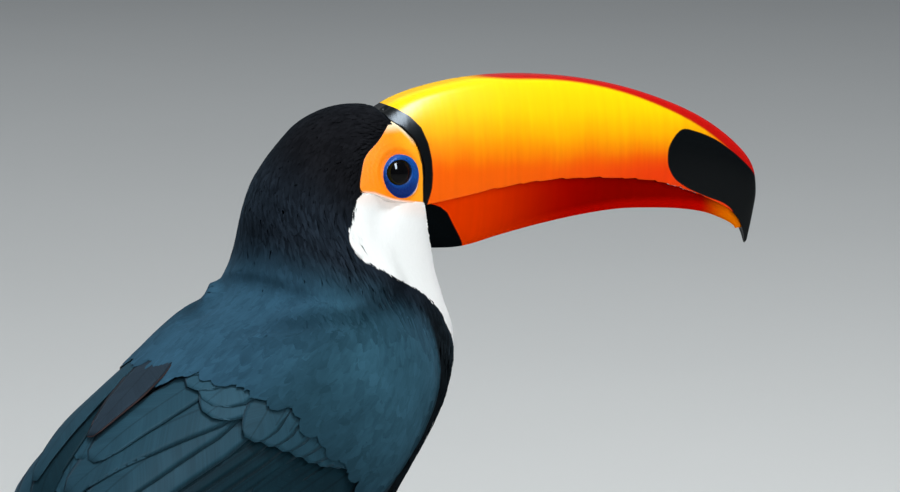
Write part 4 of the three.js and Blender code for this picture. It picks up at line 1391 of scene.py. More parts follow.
def build_face(name):
    """The bare patch and the raised ring round an eye, on rings of points round the eye: the
    ring's profile is a half round, then fine folds, then the skin out to the patch's outline,
    where it dips under the feathers."""
    side = SIDES[name]
    look = palette()
    centre, facing, forward, up = eye_frame(side)
    turn = turns(240, -math.pi)[None, :]
    inner, outer = ellipse_reach(turn, *LID_OPENING), ellipse_reach(turn, *LID_RING)
    reach = np.maximum(patch_reach(side, turn), outer + 0.8)
    lid = np.linspace(0, 1, 34)[:, None]
    rest = np.linspace(0, 1, 66)[1:, None]
    near = inner + (outer - inner) * (1 - np.cos(math.pi * lid)) / 2 + 0 * turn
    far = outer + (reach + 1.3 - outer) * rest
    radius = np.concatenate([near, far])
    turn = np.broadcast_to(turn, radius.shape)
    ahead = radius * np.cos(turn)
    above = radius * np.sin(turn)
    station, angle = beneath(side, ahead, above, -0.25)
    edge = np.clip(radius - reach, 0, None)
    points = body_point(station, angle, -0.25 - 1.5 * edge)
    dive = under_bill(points) * (radius > outer)
    points = points - facing * (dive * 0.9)[..., None]
    level = (points - centre) @ facing
    # The ring's profile rises steeply round the opening and falls away gently outwards.
    share = np.clip((radius - inner) / (outer - inner), 0, 1)
    span = np.clip(1 - (1 - 2 * share**0.6) ** 2, 0, None)
    folds = 0.07 * np.sin(26 * turn + 5 * np.sin(radius)) * span
    folds = folds + 0.05 * np.sin(radius * 5.5 + 0.8 * np.sin(3 * turn)) * span
    tall = np.minimum(LID_THICK, 0.6 * (outer - inner) + 0.3)
    lid_top = LID_OUT - 0.3 * share + tall * np.sqrt(span) + folds
    hollow = 0.3 * np.exp(-(((radius - outer - 1.1) / 1.4) ** 2))
    fade = np.exp(-np.clip(radius - outer, 0, None) / 3.2)
    crease = 0.05 * np.sin((radius - outer) * 2.6 + 0.7 * np.sin(2 * turn + 1)) * fade
    skin_level = level - hollow + crease * (radius > outer)
    height = np.where(radius < outer, np.maximum(lid_top, np.minimum(skin_level, LID_OUT + 0.4)),
                      skin_level)
    # The rim turns in to the eyeball.
    ball = np.sqrt(np.clip(EYE_RADIUS**2 - radius**2, 0, None)) - 0.4
    height = np.where(radius < inner + 0.15, np.minimum(LID_OUT - 0.5, ball), height)
    points = points + facing * (height - level)[..., None]

    side_view = unturned(points)
    x, z = side_view[..., 0], side_view[..., 2]

    def blend(base, colour_, share):
        """The base moved towards the colour by a share at each point."""
        return base + (np.array(colour_) - base) * share[..., None]

    tone = np.broadcast_to(np.array(look.face), points.shape).copy()
    tone = blend(tone, look.face_front, ease(27, 40, x) * 0.9)
    tone = blend(tone, look.face_cream, ease(17.5, 22.5, z) * ease(20, 28, x))
    tone = blend(tone, look.face_cream, ease(3.6, 0.8, face_edge_x(z) - x) * ease(11, 17, z))
    deep = np.exp(-((radius - outer) / 3.0) ** 2) * (0.45 + 0.4 * ease(0.0, 1.0, np.sin(turn)))
    tone = blend(tone, look.face_deep, deep)
    # Painted light and shade on the ring: its upper side and the inner lip round the opening get
    # the lit blue, and its lower side gets the shaded blue.
    lit = ease(-0.5, 0.5, np.sin(turn + 0.35) + 0.35 * np.abs(np.cos(turn)))
    lit = np.maximum(lit, 0.8 * ease(0.45, 0.1, share))
    ring = blend(np.array(look.ring_shaded), look.ring, lit)
    tone = np.where((radius < outer + 0.12)[..., None], ring, tone)
    # A dark line round the opening, and a pale rim outside the ring, low at the front.
    tone = blend(tone, (0.002, 0.004, 0.012), ease(0.32, 0.1, radius - inner))
    pale = ease(0.45, 0.1, np.abs(radius - outer - 0.3)) * ease(0.7, 0.98, np.cos(turn + 0.4))
    tone = blend(tone, (0.60, 0.62, 0.60), pale * 0.75)
    # Black along the bill below the eye, and the plumage's own colour past the patch's border.
    tone = blend(tone, look.bill_black, ease(1.5, 0.9, face_edge_x(z) - x) * ease(12, 4, z))
    past, above_bib = radius - reach, patch_distance(points)
    tone = blend(tone, look.bib_warm, ease(1.2, -0.6, above_bib) * ease(14, 10, radius - outer))
    tone = blend(tone, look.crown, ease(-0.15, 0.15, past) * ease(-0.2, 0.6, above_bib))

    flat = points.reshape(-1, 3)
    quads = grid_quads(*radius.shape, closed=True)
    normal = np.cross(flat[quads[:, 1]] - flat[quads[:, 0]], flat[quads[:, 3]] - flat[quads[:, 0]])
    if (normal @ facing).sum() < 0:
        quads = quads[:, ::-1]
    uv = np.stack([ahead.ravel() / 40, above.ravel() / 40], -1)
    material = bpy.data.materials.get("face_skin") or face_finish(look)
    faces = {"smooth": [quads], "flat": []}
    return new_piece(f"face_{name}", flat, faces, material, uv, uv + 0.5,
                     {"tone": tone.reshape(-1, 3)})


def build_eye(name):
    """An eyeball: a sphere of rings round its gaze, with a low dome over the iris. The gaze is
    turned a little back and up from the ring's middle."""
    side = SIDES[name]
    centre, facing, forward, up = eye_frame(side)
    gaze = unit(facing - 0.1 * forward + 0.07 * up)
    over = unit(up - gaze * (up @ gaze))
    ahead = np.cross(over, gaze)
    slope, turn = crossed(np.linspace(0.004, math.pi - 0.004, 72), turns(96))
    radius = EYE_RADIUS - 0.04 + 0.25 * ease(0.9, 0.3, slope)
    wheel = ahead * np.cos(turn)[..., None] + over * np.sin(turn)[..., None]
    points = centre + radius[..., None] * (
        gaze * np.cos(slope)[..., None] + wheel * np.sin(slope)[..., None])
    values = {"out": EYE_RADIUS * np.sin(np.minimum(slope, math.pi / 2)), "turn": turn}
    flat, faces, values = closed_grid(points, values)
    material = bpy.data.materials.get("wet_eye") or eye_finish(palette())
    eye = new_piece(f"eyeball_{name}", flat, faces, material, values=values)
    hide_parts(f"eye_{name}")
    return eye


# ---- bill ----

# Stations along the bill in the head's own frame: ridge x, z; cutting edge x, z; keel x, z;
# half-width of the upper and of the lower half.
BILL_ROWS = [
    [22, 24, 34, -15.5, 38, -36, 19.4, 18.4],
    [40.8, 32.9, 44, -15.2, 52, -37.9, 20.6, 19.3],
    [61.9, 38, 60, -12.9, 68.5, -38.2, 20.8, 19],
    [84.7, 40.2, 82, -9.7, 87.8, -34.2, 19.8, 17.6],
    [107.8, 39.6, 104, -7.9, 107, -30.6, 18.2, 15.8],
    [131.2, 36.7, 126, -8.1, 128, -27.6, 16.3, 13.8],
    [154.9, 31.2, 147, -9.8, 148, -26, 14.2, 11.6],
    [179, 22.5, 165, -12.6, 165, -26.5, 11.8, 9.4],
    [197.5, 13, 180.8, -17.4, 182, -28, 9.5, 7.2],
    [212.5, 1.6, 194, -22.6, 196, -30.7, 7.1, 5.2],
    [221.2, -9, 206, -28.4, 206.5, -34.8, 5, 3.2],
    [223.7, -21, 213.2, -34.4, 212, -38, 3.4, 1.7],
    [222.4, -32, 216.6, -41, 213.5, -40.2, 1.9, 0.8],
    [219.6, -45.5, 218.2, -47.2, 214, -41, 0.6, 0.4],
]
BILL = curve_through([[i, *row] for i, row in enumerate(BILL_ROWS)])
BILL_END = {"upper": 13.0, "lower": 11.7}
TOOTH_SPACING = 0.5  # in stations
TOOTH_HEIGHT = 0.62
BULGE = 0.1  # most that the smooth bill may be drawn in where it passes the faceted solid's box

# Markings in side view: front edge of the black band and of the black patch below it as x at a
# height z, and the outline of the black tip.
BAND_FRONT = [
    (42.8, -18), (45.8, -15.5), (48.2, -8.4), (48.9, -2.1), (48.6, 5.7), (47.3, 12.8),
    (44.6, 19.8), (39.9, 25), (34.6, 28.4), (29.6, 30.5), (24, 34),
]
PATCH_FRONT = [
    (69.5, -41), (67.7, -37.2), (65.2, -33.6), (60.2, -26.2), (56.4, -19.5), (52.6, -16.4),
    (48.5, -15.1), (40, -14.2),
]
BLACK_TIP = [
    (171.4, -2.2), (172.8, 4.6), (179.6, 11), (188.2, 9.4), (198, 5.4), (206, 0.4), (213.6, -5.4),
    (221, -12.4), (226, -21), (226, -34), (221, -50), (214, -50), (211, -33.5), (205.4, -27),
    (194.6, -22.4), (184.4, -17.9), (176.6, -13.0), (172.6, -7.6),
]


def cutting_edge(station):
    """The cutting edge in side view, notched: each tooth slopes up forward, then drops."""
    row = BILL(station)
    wander = station + 0.06 * np.sin(station * 5.1)
    phase = (wander / TOOTH_SPACING) % 1
    tooth = np.minimum(phase / 0.86, (1 - phase) / 0.14)
    deep = TOOTH_HEIGHT * ease(1.8, 3.2, station) * ease(9.6, 8.2, station)
    return row[2], row[3] + deep * tooth * (0.7 + 0.3 * np.sin(station * 7.3))


def bill_shape(half_name, station, arch, cross):
    """Side view x, z and half-width of one half of the bill: from its mouth side at arch 0 to its
    ridge or keel at arch 1. cross says how far across the mouth side a place is."""
    row = BILL(station)
    edge_x, edge_z = cutting_edge(station)
    if half_name == "upper":
        ridge_x, ridge_z, half = row[0], row[1], row[6]
        mouth_x, mouth_z = edge_x, edge_z
    else:
        ridge_x, ridge_z, half = row[4], row[5], row[7]
        next_x, next_z = cutting_edge(station + 0.3)
        off_x, off_z = next_z - edge_z, edge_x - next_x
        long_ = np.hypot(off_x, off_z)
        # Near the tip the lower half's rim stands inside the upper one's hollow.
        gap = GAP - 0.5 * ease(7.5, 9.5, station)
        mouth_x, mouth_z = edge_x + off_x / long_ * gap, edge_z + off_z / long_ * gap
    turn = arch * math.pi / 2
    height = np.sin(turn) ** 0.95
    out = np.where(cross < 1, cross, np.cos(turn) ** 0.62)
    recess = np.where(cross < 1, 0.6 * (1 - cross**4), 0.0)
    recess = recess if half_name == "upper" else -recess
    x = mouth_x + (ridge_x - mouth_x) * height
    z = mouth_z + (ridge_z - mouth_z) * height + recess
    return x, z, half * out


def build_bill_half(half_name):
    """A half of the bill: an arch from one cutting edge over the ridge to the other, closed
    across the mouth side, carried along from where it leaves the face to its tip. Its rear rim
    rolls in under itself."""
    across = np.linspace(0, 1, 56) ** 1.5
    arch = 1 - across[::-1]  # finest at the ridge
    fine = np.array([0.0, 0.004, 0.012, 0.025])
    arch = np.unique(np.concatenate([fine, arch[arch > 0.03], [1.0]]))
    mouth = np.linspace(1, -1, 9)[1:-1]
    arch_line = np.concatenate([arch, arch[-2::-1], np.zeros(len(mouth))])
    signs = np.concatenate([np.ones(len(arch)), -np.ones(len(arch) - 1), -np.sign(mouth)])
    cross = np.concatenate([np.ones(2 * len(arch) - 1), np.abs(mouth)])
    # Where each line leaves the face, found by halving.
    low, high = np.zeros(len(arch_line)), np.full(len(arch_line), 5.0)
    for _ in range(30):
        middle = (low + high) / 2
        x, z, _ = bill_shape(half_name, middle, arch_line, cross)
        short = x < face_edge_x(z) + GAP
        low, high = np.where(short, middle, low), np.where(short, high, middle)
    start = (low + high) / 2
    rows = 300 if half_name == "upper" else 260
    share = np.linspace(0, 1, rows)[:, None]
    end = BILL_END[half_name]
    station = start + (end - start) * share
    arch_line, signs, cross = (np.broadcast_to(line, station.shape) for line in
                               (arch_line, signs, cross))
    x, z, out = bill_shape(half_name, station, arch_line, cross)
    middle_z = (BILL(station)[1] + BILL(station)[5]) / 2
    # Nostrils: a pit on either side of the ridge, close to the face.
    if half_name == "upper":
        pit = np.exp(-(((x - 31.0) / 1.7) ** 2 + ((out - 6.0) / 1.5) ** 2) ** 1.5) * (z > 20)
        z = z - 1.4 * pit
    # Rim: behind the face's edge the surface turns in towards the bill's middle.
    shrink = np.array([2.2, 1.3, 0.65, 0.22, 0.04])[:, None]
    ahead = np.array([0.9, -0.1, -0.45, -0.4, -0.15])[:, None]
    towards = np.sign(z[:1] - middle_z[:1])
    x = np.concatenate([x[:1] + ahead, x])
    z = np.concatenate([z[:1] - towards * shrink, z])
    out = np.concatenate([np.clip(out[:1] - shrink, 0, None), out])
    rim = (len(shrink), station.shape[1])
    station = np.concatenate([np.broadcast_to(station[:1], rim), station])
    signs = np.concatenate([np.broadcast_to(signs[:1], rim), signs])
    points = turned(x, -signs * out, z)

    band = np.array(BAND_FRONT)
    patch = np.array(PATCH_FRONT)
    row = BILL(station)
    if half_name == "upper":
        black = np.interp(z, band[:, 1], band[:, 0]) - x
        tip = outline_distance(x, z, smooth_outline(BLACK_TIP, 90))
        black = np.maximum(black, tip)
        width = sizes().stripe * (0.3 * ease(2.4, 3.6, station) + 0.7 * ease(4.2, 8.6, station))
        culmen = width - np.hypot(row[0] - x, row[1] - z) * 0.93 - 0.4 * ease(3.4, 2.4, station)
    else:
        black = np.interp(z, patch[:, 1], patch[:, 0]) - x
        culmen = -9 * np.ones(x.shape)
    rise = z if half_name == "upper" else z - row[5]
    values = {"black": black, "culmen": culmen, "rise": rise, "reach": x}
    flat, faces, values = closed_grid(points, values)
    # The smooth curve passes the faceted solid's box by a hair, forward and to the right, and is
    # held there. Anything more is a fault, which this stops on rather than hides.
    low, high = (np.array(corner) / MILLIMETRE - np.array(BIRD_ORIGIN) for corner in CAD_BOX)
    held = np.clip(flat, low, high)
    past = np.abs(held - flat).max()
    if past > BULGE:
        raise RuntimeError(f"the bill passes the CAD box by {past:.3f} mm")
    flat = held
    material = bill_finish(f"bill_{half_name}", palette(), half_name == "upper")
    piece = new_piece(f"{half_name}_bill", flat, faces, material, values=values)
    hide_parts(f"bill_{half_name}")
    return piece


# ---- coat ----

def shawl_distance(station, angle):
    """Millimetres round the body from a place up to the edge of the back's feathers."""
    (back,) = BACK_AT(station)
    return np.interp(back, SHAWL[:, 0], SHAWL[:, 1]) - wrapped(angle) * WRAP


def wing_distance(station, angle):
    """Millimetres inside the wing's borders, round the body."""
    (back,) = BACK_AT(station)
    upper, lower, _ = WING(back)
    around = wrapped(angle) * WRAP
    return np.minimum(around - upper, lower - around)


def bare(station, angle):
    """True on the bare patch and under the bill, where no feather grows."""
    points = body_point(station, angle)
    patch = (bib_distance(station, angle) > 0.3) & (patch_distance(points) > 0.4)
    return (patch & (station > 14)) | (head_ahead(points) > -0.2) & (station > 13)


def head_roots(station, angle):
    """True on the head above the neck, outside the bib and a little over its border."""
    near = np.where(patch_distance(body_point(station, angle)) > -1, -0.5, 1.2)
    return (station > NECK_TOP) & (bib_distance(station, angle) < near) & ~bare(station, angle)


def neck_roots(station, angle):
    """True between the neck's two stations, outside the bib and a little over its border."""
    return (station <= NECK_TOP) & (station > NECK_FOOT) & (bib_distance(station, angle) < 1.2)


def bib_roots(station, angle):
    """True inside the bib and a little past its border, below the bare patch."""
    low = (patch_distance(body_point(station, angle)) < 0.4) | (station < 13)
    return (bib_distance(station, angle) > -1.2) & low & ~bare(station, angle)


def back_roots(station, angle):
    """True above the edge of the back's feathers, outside the bib."""
    return (shawl_distance(station, angle) > 0) & (bib_distance(station, angle) < 1)


def belly_roots(station, angle):
    """True below the wing's lower border and round the tail's root, outside the bib."""
    (back,) = BACK_AT(station)
    under = WING(back)[1] - wrapped(angle) * WRAP < 5
    low = shawl_distance(station, angle) < 0
    return (under | (station < 2)) & low & (bib_distance(station, angle) < 1)


def shoulder_roots(station, angle):
    """True on the front of the wing, up to a line that slants back towards the midline."""
    (back,) = BACK_AT(station)
    limit = 44 - 0.25 * (wrapped(angle) * WRAP - 60)
    return (wing_distance(station, angle) > -2) & (back < limit) & (
        shawl_distance(station, angle) < 12) & (station < 10.75)


def build_head_coat():
    """The feathers of the head, and the narrower, ruffled ones of the neck."""
    size = sizes()
    roots = spread_roots(head_roots, size.head_spacing, 11, (13, SKIN_END))
    near = ease(7, 1, -bib_distance(*roots))
    length = size.head_feather * (1 - 0.4 * near)
    look = {"length": length, "width": length * 0.27, "depth": 1.3 - 0.5 * near,
            "lift": 0.09, "settle": 0.3, "arch": 0.015, "slant": 0.0, "stray": 0.08,
            "ragged": 0.08, "calm": 0.3}
    material = plumage_finish("head_plumage", palette(), 3.0, 0.03, 0.2, 0.5)
    coat("head_feathers", roots, look, material, 12)
    roots = spread_roots(neck_roots, size.neck_spacing, 21, (10.2, NECK_TOP))
    ruffle = ripple(body_point(*roots), 5, 46.0)
    look = {"length": size.neck_feather, "width": size.neck_feather * 0.2, "depth": 1.5,
            "lift": 0.2 + 0.25 * np.clip(ruffle, 0, 1), "settle": 0.3, "arch": 0.04,
            "slant": 0.1 * ruffle, "stray": 0.13, "ragged": 0.14, "calm": 0.35}
    material = plumage_finish("neck_plumage", palette(), 3.0, 0.05, 0.25, 0.8)
    coat("neck_feathers", roots, look, material, 22)


def build_bib_coat():
    """The white bib: broad, flat, calm feathers, with a warmer tint towards the bare patch."""
    size = sizes()
    roots = spread_roots(bib_roots, size.bib_spacing, 31, (9.5, SKIN_END))
    near = ease(5, 0.5, -patch_distance(body_point(*roots)))
    look = {"length": size.bib_feather * (1 - 0.4 * near),
            "width": size.bib_feather * 0.62 * (1 - 0.4 * near),
            "depth": 0.8 - 0.68 * ease(1, 4, bib_distance(*roots)), "lift": 0.03, "settle": 0.3,
            "arch": 0.01, "slant": 0.0, "stray": 0.03, "ragged": 0.04, "calm": 0.97}
    material = plumage_finish("bib_plumage", palette(), 4.0, 0.05, 0.03)
    bib = coat("bib_feathers", roots, look, material, 32)
    count = len(bib.data.vertices)
    place = np.empty(count * 3, np.float32)
    bib.data.vertices.foreach_get("co", place)
    points = place.reshape(-1, 3) / MILLIMETRE - np.array(BIRD_ORIGIN)
    warm = ease(-9, -0.5, patch_distance(points)) * 0.8
    field = bib.data.attributes.new("warm", "FLOAT", "POINT")
    field.data.foreach_set("value", warm.astype(np.float32))


def build_body_coat():
    """The feathers of the back, of the breast and belly, and of the wings' shoulders."""
    size = sizes()
    soft = plumage_finish("back_plumage", palette(), 4.0, 0.06, 0.1, 0.22)
    roots = spread_roots(back_roots, size.back_spacing, 41, (3.2, 10.6))
    station, _ = roots
    small = ease(7.2, 10.0, station)
    ruffle = ripple(body_point(*roots), 6, 60.0)
    look = {"length": size.back_feather * (1.25 - 0.55 * small),
            "width": size.back_feather * (0.46 - 0.27 * small), "depth": 0.8,
            "lift": 0.07 + 0.03 * ruffle, "settle": 0.3, "arch": 0.015, "slant": 0.08 * ruffle,
            "stray": 0.08, "ragged": 0.06, "calm": 0.8}
    coat("back_feathers", roots, look, soft, 42, SOFT, 6)
    roots = spread_roots(belly_roots, size.belly_spacing, 51, (0.4, 11.6))
    station, angle = roots
    ruffle = ripple(body_point(*roots), 7, 50.0)
    look = {"length": size.belly_feather * (1 - 0.35 * ease(8, 11, station)),
            "width": size.belly_feather * 0.3 * (1 - 0.3 * ease(8, 11, station)), "depth": 2.0,
            "lift": 0.35 + 0.2 * ruffle, "settle": 0.3, "arch": 0.04, "slant": 0.06 * ruffle,
            "stray": 0.13, "ragged": 0.12, "calm": 0.3}
    dull = plumage_finish("belly_plumage", palette(), 4.0, 0.02)
    coat("belly_feathers", roots, look, dull, 52, PLUME, 6)
    roots = spread_roots(shoulder_roots, size.covert_spacing, 61, (6.6, 10.8))
    grown = 1 + 0.4 * ease(8, 40, BACK_AT(roots[0])[0])
    look = {"length": size.covert * grown, "width": size.covert * 0.5 * grown, "depth": 0.45,
            "lift": 0.07, "settle": 0.3, "arch": 0.015, "slant": 0.0, "stray": 0.07,
            "ragged": 0.03, "calm": 0.75}
    coat("shoulder_feathers", roots, look, soft, 62, SOFT, 6, 5)


# ---- wings and tail ----


def row_of(count, **ends):
    """A tier of vanes: each key runs evenly, or along a bowed line, from its first entry at the
    lowest vane to its last at the uppermost."""
    share = np.linspace(0, 1, count)
    tier = {}
    for key, stops in ends.items():
        stops = np.array(stops, float)
        if stops.ndim == 0:
            tier[key] = stops
        else:
            at = np.linspace(0, 1, len(stops))
            flat = stops.reshape(len(stops), -1)
            tier[key] = np.stack([np.interp(share, at, column) for column in flat.T], -1).reshape(
                (count,) + stops.shape[1:])
    return tier


def wing_tiers():
    """The tiers of a folded wing, from the lowest to the uppermost, with their outlines and
    grids. Places are back along the body and round it."""
    look = palette()
    low, high = np.array(look.wing_low_and_shade), np.array(look.wing)
    mix, covert = 0.5 * low + 0.5 * high, 0.75 * low + 0.25 * high
    # Tiers grade from the flight feathers' colour below (partly painted shade) to the coverts'
    # slate above (partly painted sky reflection).
    return [
        (row_of(9, root=[(50, 84), (90, 59)], tip=[(146, 80), (186, 62), (204, 44)],
                width=[15, 17, 15], sink=[2.6, 2.2], tilt=0.2, bow=-1.5, tone=[low * 0.8, low]),
         LONG_VANE, 22, 9),
        (row_of(9, root=[(30, 86), (48, 66), (60, 46)], tip=[(118, 86), (152, 62), (180, 34)],
                width=[18, 21, 22], sink=[2.1, 1.5], tilt=0.18, bow=-1.0, tone=[low, low]),
         LONG_VANE, 22, 9),
        (row_of(4, root=[(62, 44), (60, 36), (58, 38), (54, 20)],
                tip=[(184, 30), (172, 20), (150, 0), (134, 3)], width=[23, 24, 26, 22],
                sink=[1.3, 1.05, 0.8, 0.6], tilt=0.15, bow=[0, 0, 2, 0],
                tone=[mix, mix, mix, mix]), LONG_VANE, 24, 9),
        (row_of(10, root=[(8, 90), (30, 62), (46, 38)], tip=[(50, 84), (72, 71), (88, 50)],
                width=[13, 17, 16], sink=[0.9, 0.4], tilt=0.11, bow=0.8, tone=[covert, mix]),
         SHORT_VANE, 16, 9),
        (row_of(10, root=[(-4, 102), (20, 60), (28, 40)], tip=[(28, 98), (52, 66), (64, 44)],
                width=[12, 16, 16], sink=[0.6, 0.3], tilt=0.08, bow=0.5, tone=[mix, mix]),
         SHORT_VANE, 14, 9),
        (row_of(4, root=[(46, 34), (42, 29), (38, 20), (34, 12)],
                tip=[(91, 31), (86, 27), (83, 17), (76, 10)], width=[24, 24, 22, 20],
                sink=[0.5, 0.4, 0.3, 0.2], root_sink=3.6, tilt=0.06,
                tone=[mix * 0.7 + high * 0.3, mix * 0.3 + high * 0.7]), SOFT, 18, 9),
    ]


def build_wing(name):
    """A folded wing: tiers of vanes laid on its hump, over a core."""
    side = SIDES[name]

    def surface(back, around, sink):
        return flank_point(back, around, wing_top(back, around) - sink, side)

    bodies = []
    for tier, outline, rings, columns in wing_tiers():
        # The left wing's uppermost feathers pass under the right wing's at the midline.
        tier["sink"] = tier["sink"] + 0.35 * (name == "left")
        bodies.append(laid_vanes(surface, tier, outline, rings, columns))
    # A dark core under the vanes fills the gaps between them.
    core_back, core_share = crossed(np.linspace(-24, 108, 60), np.linspace(0, 1, 40))
    upper, lower, _ = WING(core_back)
    around = upper + 2 + (lower - upper - 4) * core_share
    top = surface(core_back, around, 4.2 + 0 * core_back)
    under = flank_point(core_back, around, -2.6, side)[:, ::-1]
    shape = core_back.shape
    look = np.array(palette().wing_low_and_shade)
    core_values = {
        "chance": np.full((shape[0], 2 * shape[1]), 0.5),
        "reach": np.full((shape[0], 2 * shape[1]), 20.0),
        "uv": np.full((shape[0], 2 * shape[1], 2), 0.3),
        "bake": np.stack([np.concatenate([core_back, core_back], 1) / BAKE_REACH + 0.2,
                          np.concatenate([around, around[:, ::-1]], 1) / BAKE_REACH + 0.5], -1),
        "tone": np.broadcast_to(look, (shape[0], 2 * shape[1], 3)),
    }
    bodies.append(closed_grid(np.concatenate([top, under], 1), core_values))
    material = bpy.data.materials.get("wing_vanes") or vane_finish("wing_vanes", palette())
    wing = mapped_piece(f"wing_feathers_{name}", bodies, material)
    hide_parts(f"wing_{name}")


def build_crossed_tertials():
    """The innermost feathers of the left wing, which lie over the right wing's across the back."""
    look = palette()

    def surface(back, around, sink):
        return flank_point(back, around, wing_top(back, np.abs(around)) - sink, 1)

    low, high = np.array(look.wing_low_and_shade), np.array(look.wing)
    # From below: a long slate feather, a broad one towards the left side, the old brown one, and
    # the faded edge of its right side.
    tier = row_of(4, root=[(70, -21), (34, -34), (42, -18), (41.5, -16)],
                  tip=[(184, -11), (150, -19), (124, -5), (123.6, -5)], width=[17, 21, 20, 18],
                  sink=[-0.3, -0.9, -1.2, -1.3], tilt=0.25, bow=[0, 1, 4, 3.4],
                  tone=[low, 0.6 * low + 0.4 * high, look.russet, look.brown], root_sink=2.6,
                  thick=0.4)
    material = bpy.data.materials.get("wing_vanes") or vane_finish("wing_vanes", palette())
    mapped_piece("crossed_tertials", [laid_vanes(surface, tier, BLADE, 26, 11)], material)


def tail_point(along, across, sink):
    """A place in the tail: along it from the end of the back, across it, and below its slightly
    arched upper face."""
    x, z = tail_line(along, 2.6 - sink - 0.002 * across * across)
    return np.stack(np.broadcast_arrays(x, across, z), -1)


def build_tail():
    """The tail: five vanes a side, with white coverts over its root and red ones under it."""
    look = palette()
    dark = np.array(look.wing_low_and_shade) * 0.55
    vanes, white, red = [], [], []
    for side in (1, -1):
        tier = row_of(5, root=[(36, side * 3), (36, side * 10.2)],
                      tip=[(168, side * 8), (159.2, side * 19.2)], width=26,
                      sink=[0.0 if side > 0 else 0.5, 4.0 if side > 0 else 4.5],
                      root_sink=0.8, tilt=0.0, thick=0.22, curl=0.5, tone=[dark, dark])
        vanes.append(laid_vanes(tail_point, tier, TAIL_VANE, 30, 11))
        for tiers, lanes, reach, sinks, under, colour_ in (
            (white, 5, 84, (-2.4, -0.6), 1.2, look.rump),
            (white, 4, 66, (-3.2, -1.4), 1.2, look.rump),
            (red, 5, 92, (7.2, 5.6), -1.2, look.vent),
            (red, 4, 72, (8.0, 6.6), -1.2, look.vent),
        ):
            tier = row_of(lanes, root=[(30, side * 2), (30, side * 13)],
                          tip=[(reach, side * 2.4), (reach - 14, side * 15)], width=[11, 10],
                          sink=sinks, root_sink=under, thick=0.3, tone=[colour_, colour_])
            tiers.append(laid_vanes(tail_point, tier, SHORT_VANE, 12, 7))
    tail = mapped_piece("tail_feathers", vanes, vane_finish("tail_vanes", look, 0.15))
    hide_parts("tail")
    mapped_piece("rump_coverts", white, vane_finish("rump_vanes", look, 0.2))
    mapped_piece("vent_coverts", red, vane_finish("vent_vanes", look, 0.1))


# ---- legs ----

# Toes by name: degrees round the branch that the toe ends at, forward positive; how far its end
# stands to the outside of the foot; radius at the root and at the end.
TOES = {
    "inner_front": (78, -5, 3.9, 3),
    "outer_front": (104, 5.5, 4.1, 3),
    "inner_back": (-62, -7.5, 3.6, 2.8),
    "outer_back": (-90, 6, 3.9, 2.9),
}
THIGH_WRAP = 14.0  # radius that turns millimetres round a thigh into an angle
THIGH_HALF_WIDTH = 2.6  # of a feather on it
SHANK = [(-71, -184), (-65, -191), (-54, -201), (PERCH_X - 2, PERCH_TOP + 5)]
SHANK_RADII = (4.2, 3.9, 3.9, 4.4)


def build_thigh_coat(name):
    """Soft feathers down the thigh, in rings that overlap towards the heel."""
    side = SIDES[name]
    path = thigh_path(side)
    rng = np.random.default_rng(70 + side)
    rings = np.linspace(0.3, 3.7, 17)
    radius = path(rings)[3]
    start, around = [], []
    for at, wide in zip(rings, radius):
        count = int(2 * math.pi * wide / 3.4)
        start.append(np.full(count, at))
        around.append((np.arange(count) + rng.random(count) * 0.8) / count * 2 * math.pi)
    start, around = np.concatenate(start), np.concatenate(around)
    count = len(start)
    wide = path(start)[3]

    root = np.stack([start, around * THIGH_WRAP], -1)
    tip = np.stack([start + rng.uniform(0.7, 0.95, count), around * THIGH_WRAP
                    + rng.normal(size=count) * 0.6], -1)
    sunk = rng.uniform(-0.35, 0.1, count)
    v, wide_share, u, _ = vane_grid(SOFT, 6, 5, 0)
    half = THIGH_HALF_WIDTH * THIGH_WRAP / np.clip(wide, 4, None)
    along = root[:, 0, None, None] + (tip - root)[:, 0, None, None] * v
    turn = (root[:, 1, None, None] + (tip - root)[:, 1, None, None] * v
            + half[:, None, None] * wide_share) / THIGH_WRAP
    sink = sunk[:, None, None] + 2.4 * (1 - v) ** 2 - 0.4 * (1 - u**2)
    shape = along.shape
    # Held just short of the heel, where the path ends and has no direction any more.
    points = tube_point(path, np.clip(along, 0, 3.95), turn, -sink).reshape(-1, 3)
    values = {
        "chance": spread(rng.random(count)[:, None, None], shape),
        "white": np.full(points.shape[0], -9.0),
        "tone": np.broadcast_to(np.array(palette().belly), points.shape),
    }
    uv, bake = vane_maps(u, v, shape, (around / 7)[:, None, None], (start / 4.5)[:, None, None])
    faces = outward(points, vane_faces(count, shape[1], shape[2], 5))
    material = bpy.data.materials.get("belly_plumage")
    new_piece(f"thigh_feathers_{name}", points, faces, material, uv, bake, values)


def scaled_tube(path, last, rows, columns, plates):
    """A leg or toe: a tube whose front or upper side carries plates, each a low swell that ends
    in a seam, with small round scales elsewhere."""
    t, turn = crossed(np.linspace(0, last, rows), turns(columns))
    phase = (t / last * plates) % 1
    swell = np.minimum(phase / 0.8, (1 - phase) / 0.2)
    upper = ease(-0.5, 0.2, np.sin(turn))
    small = np.sin(t / last * plates * 2 * math.pi * 1.7) * np.sin(turn * 9)
    radius = path(t)[3]
    grow = (0.08 * swell * upper + 0.03 * small * (1 - upper)) * radius - 0.05 * radius
    # Both ends close in a dome.
    dome = np.sqrt(np.clip(1 - (1 - np.minimum(t, last - t) / (0.09 * last)).clip(0) ** 2, 0, 1))
    grow = (radius + grow) * dome.clip(0.02) - radius
    points = tube_point(path, t, turn, grow)
    seam = ease(0.35, 0.0, swell) * upper + ease(0.2, -0.6, small) * (1 - upper) * 0.6
    return closed_grid(points, {"seam": seam})


def grip_point(degrees, reach, y):
    """A place round the branch: degrees forward from its top, and reach out from its bark."""
    turn = np.radians(degrees)
    x = PERCH_X + (PERCH_RADIUS + reach) * np.sin(turn)
    z = PERCH_Z + (PERCH_RADIUS + reach) * np.cos(turn)
    return x, y, z


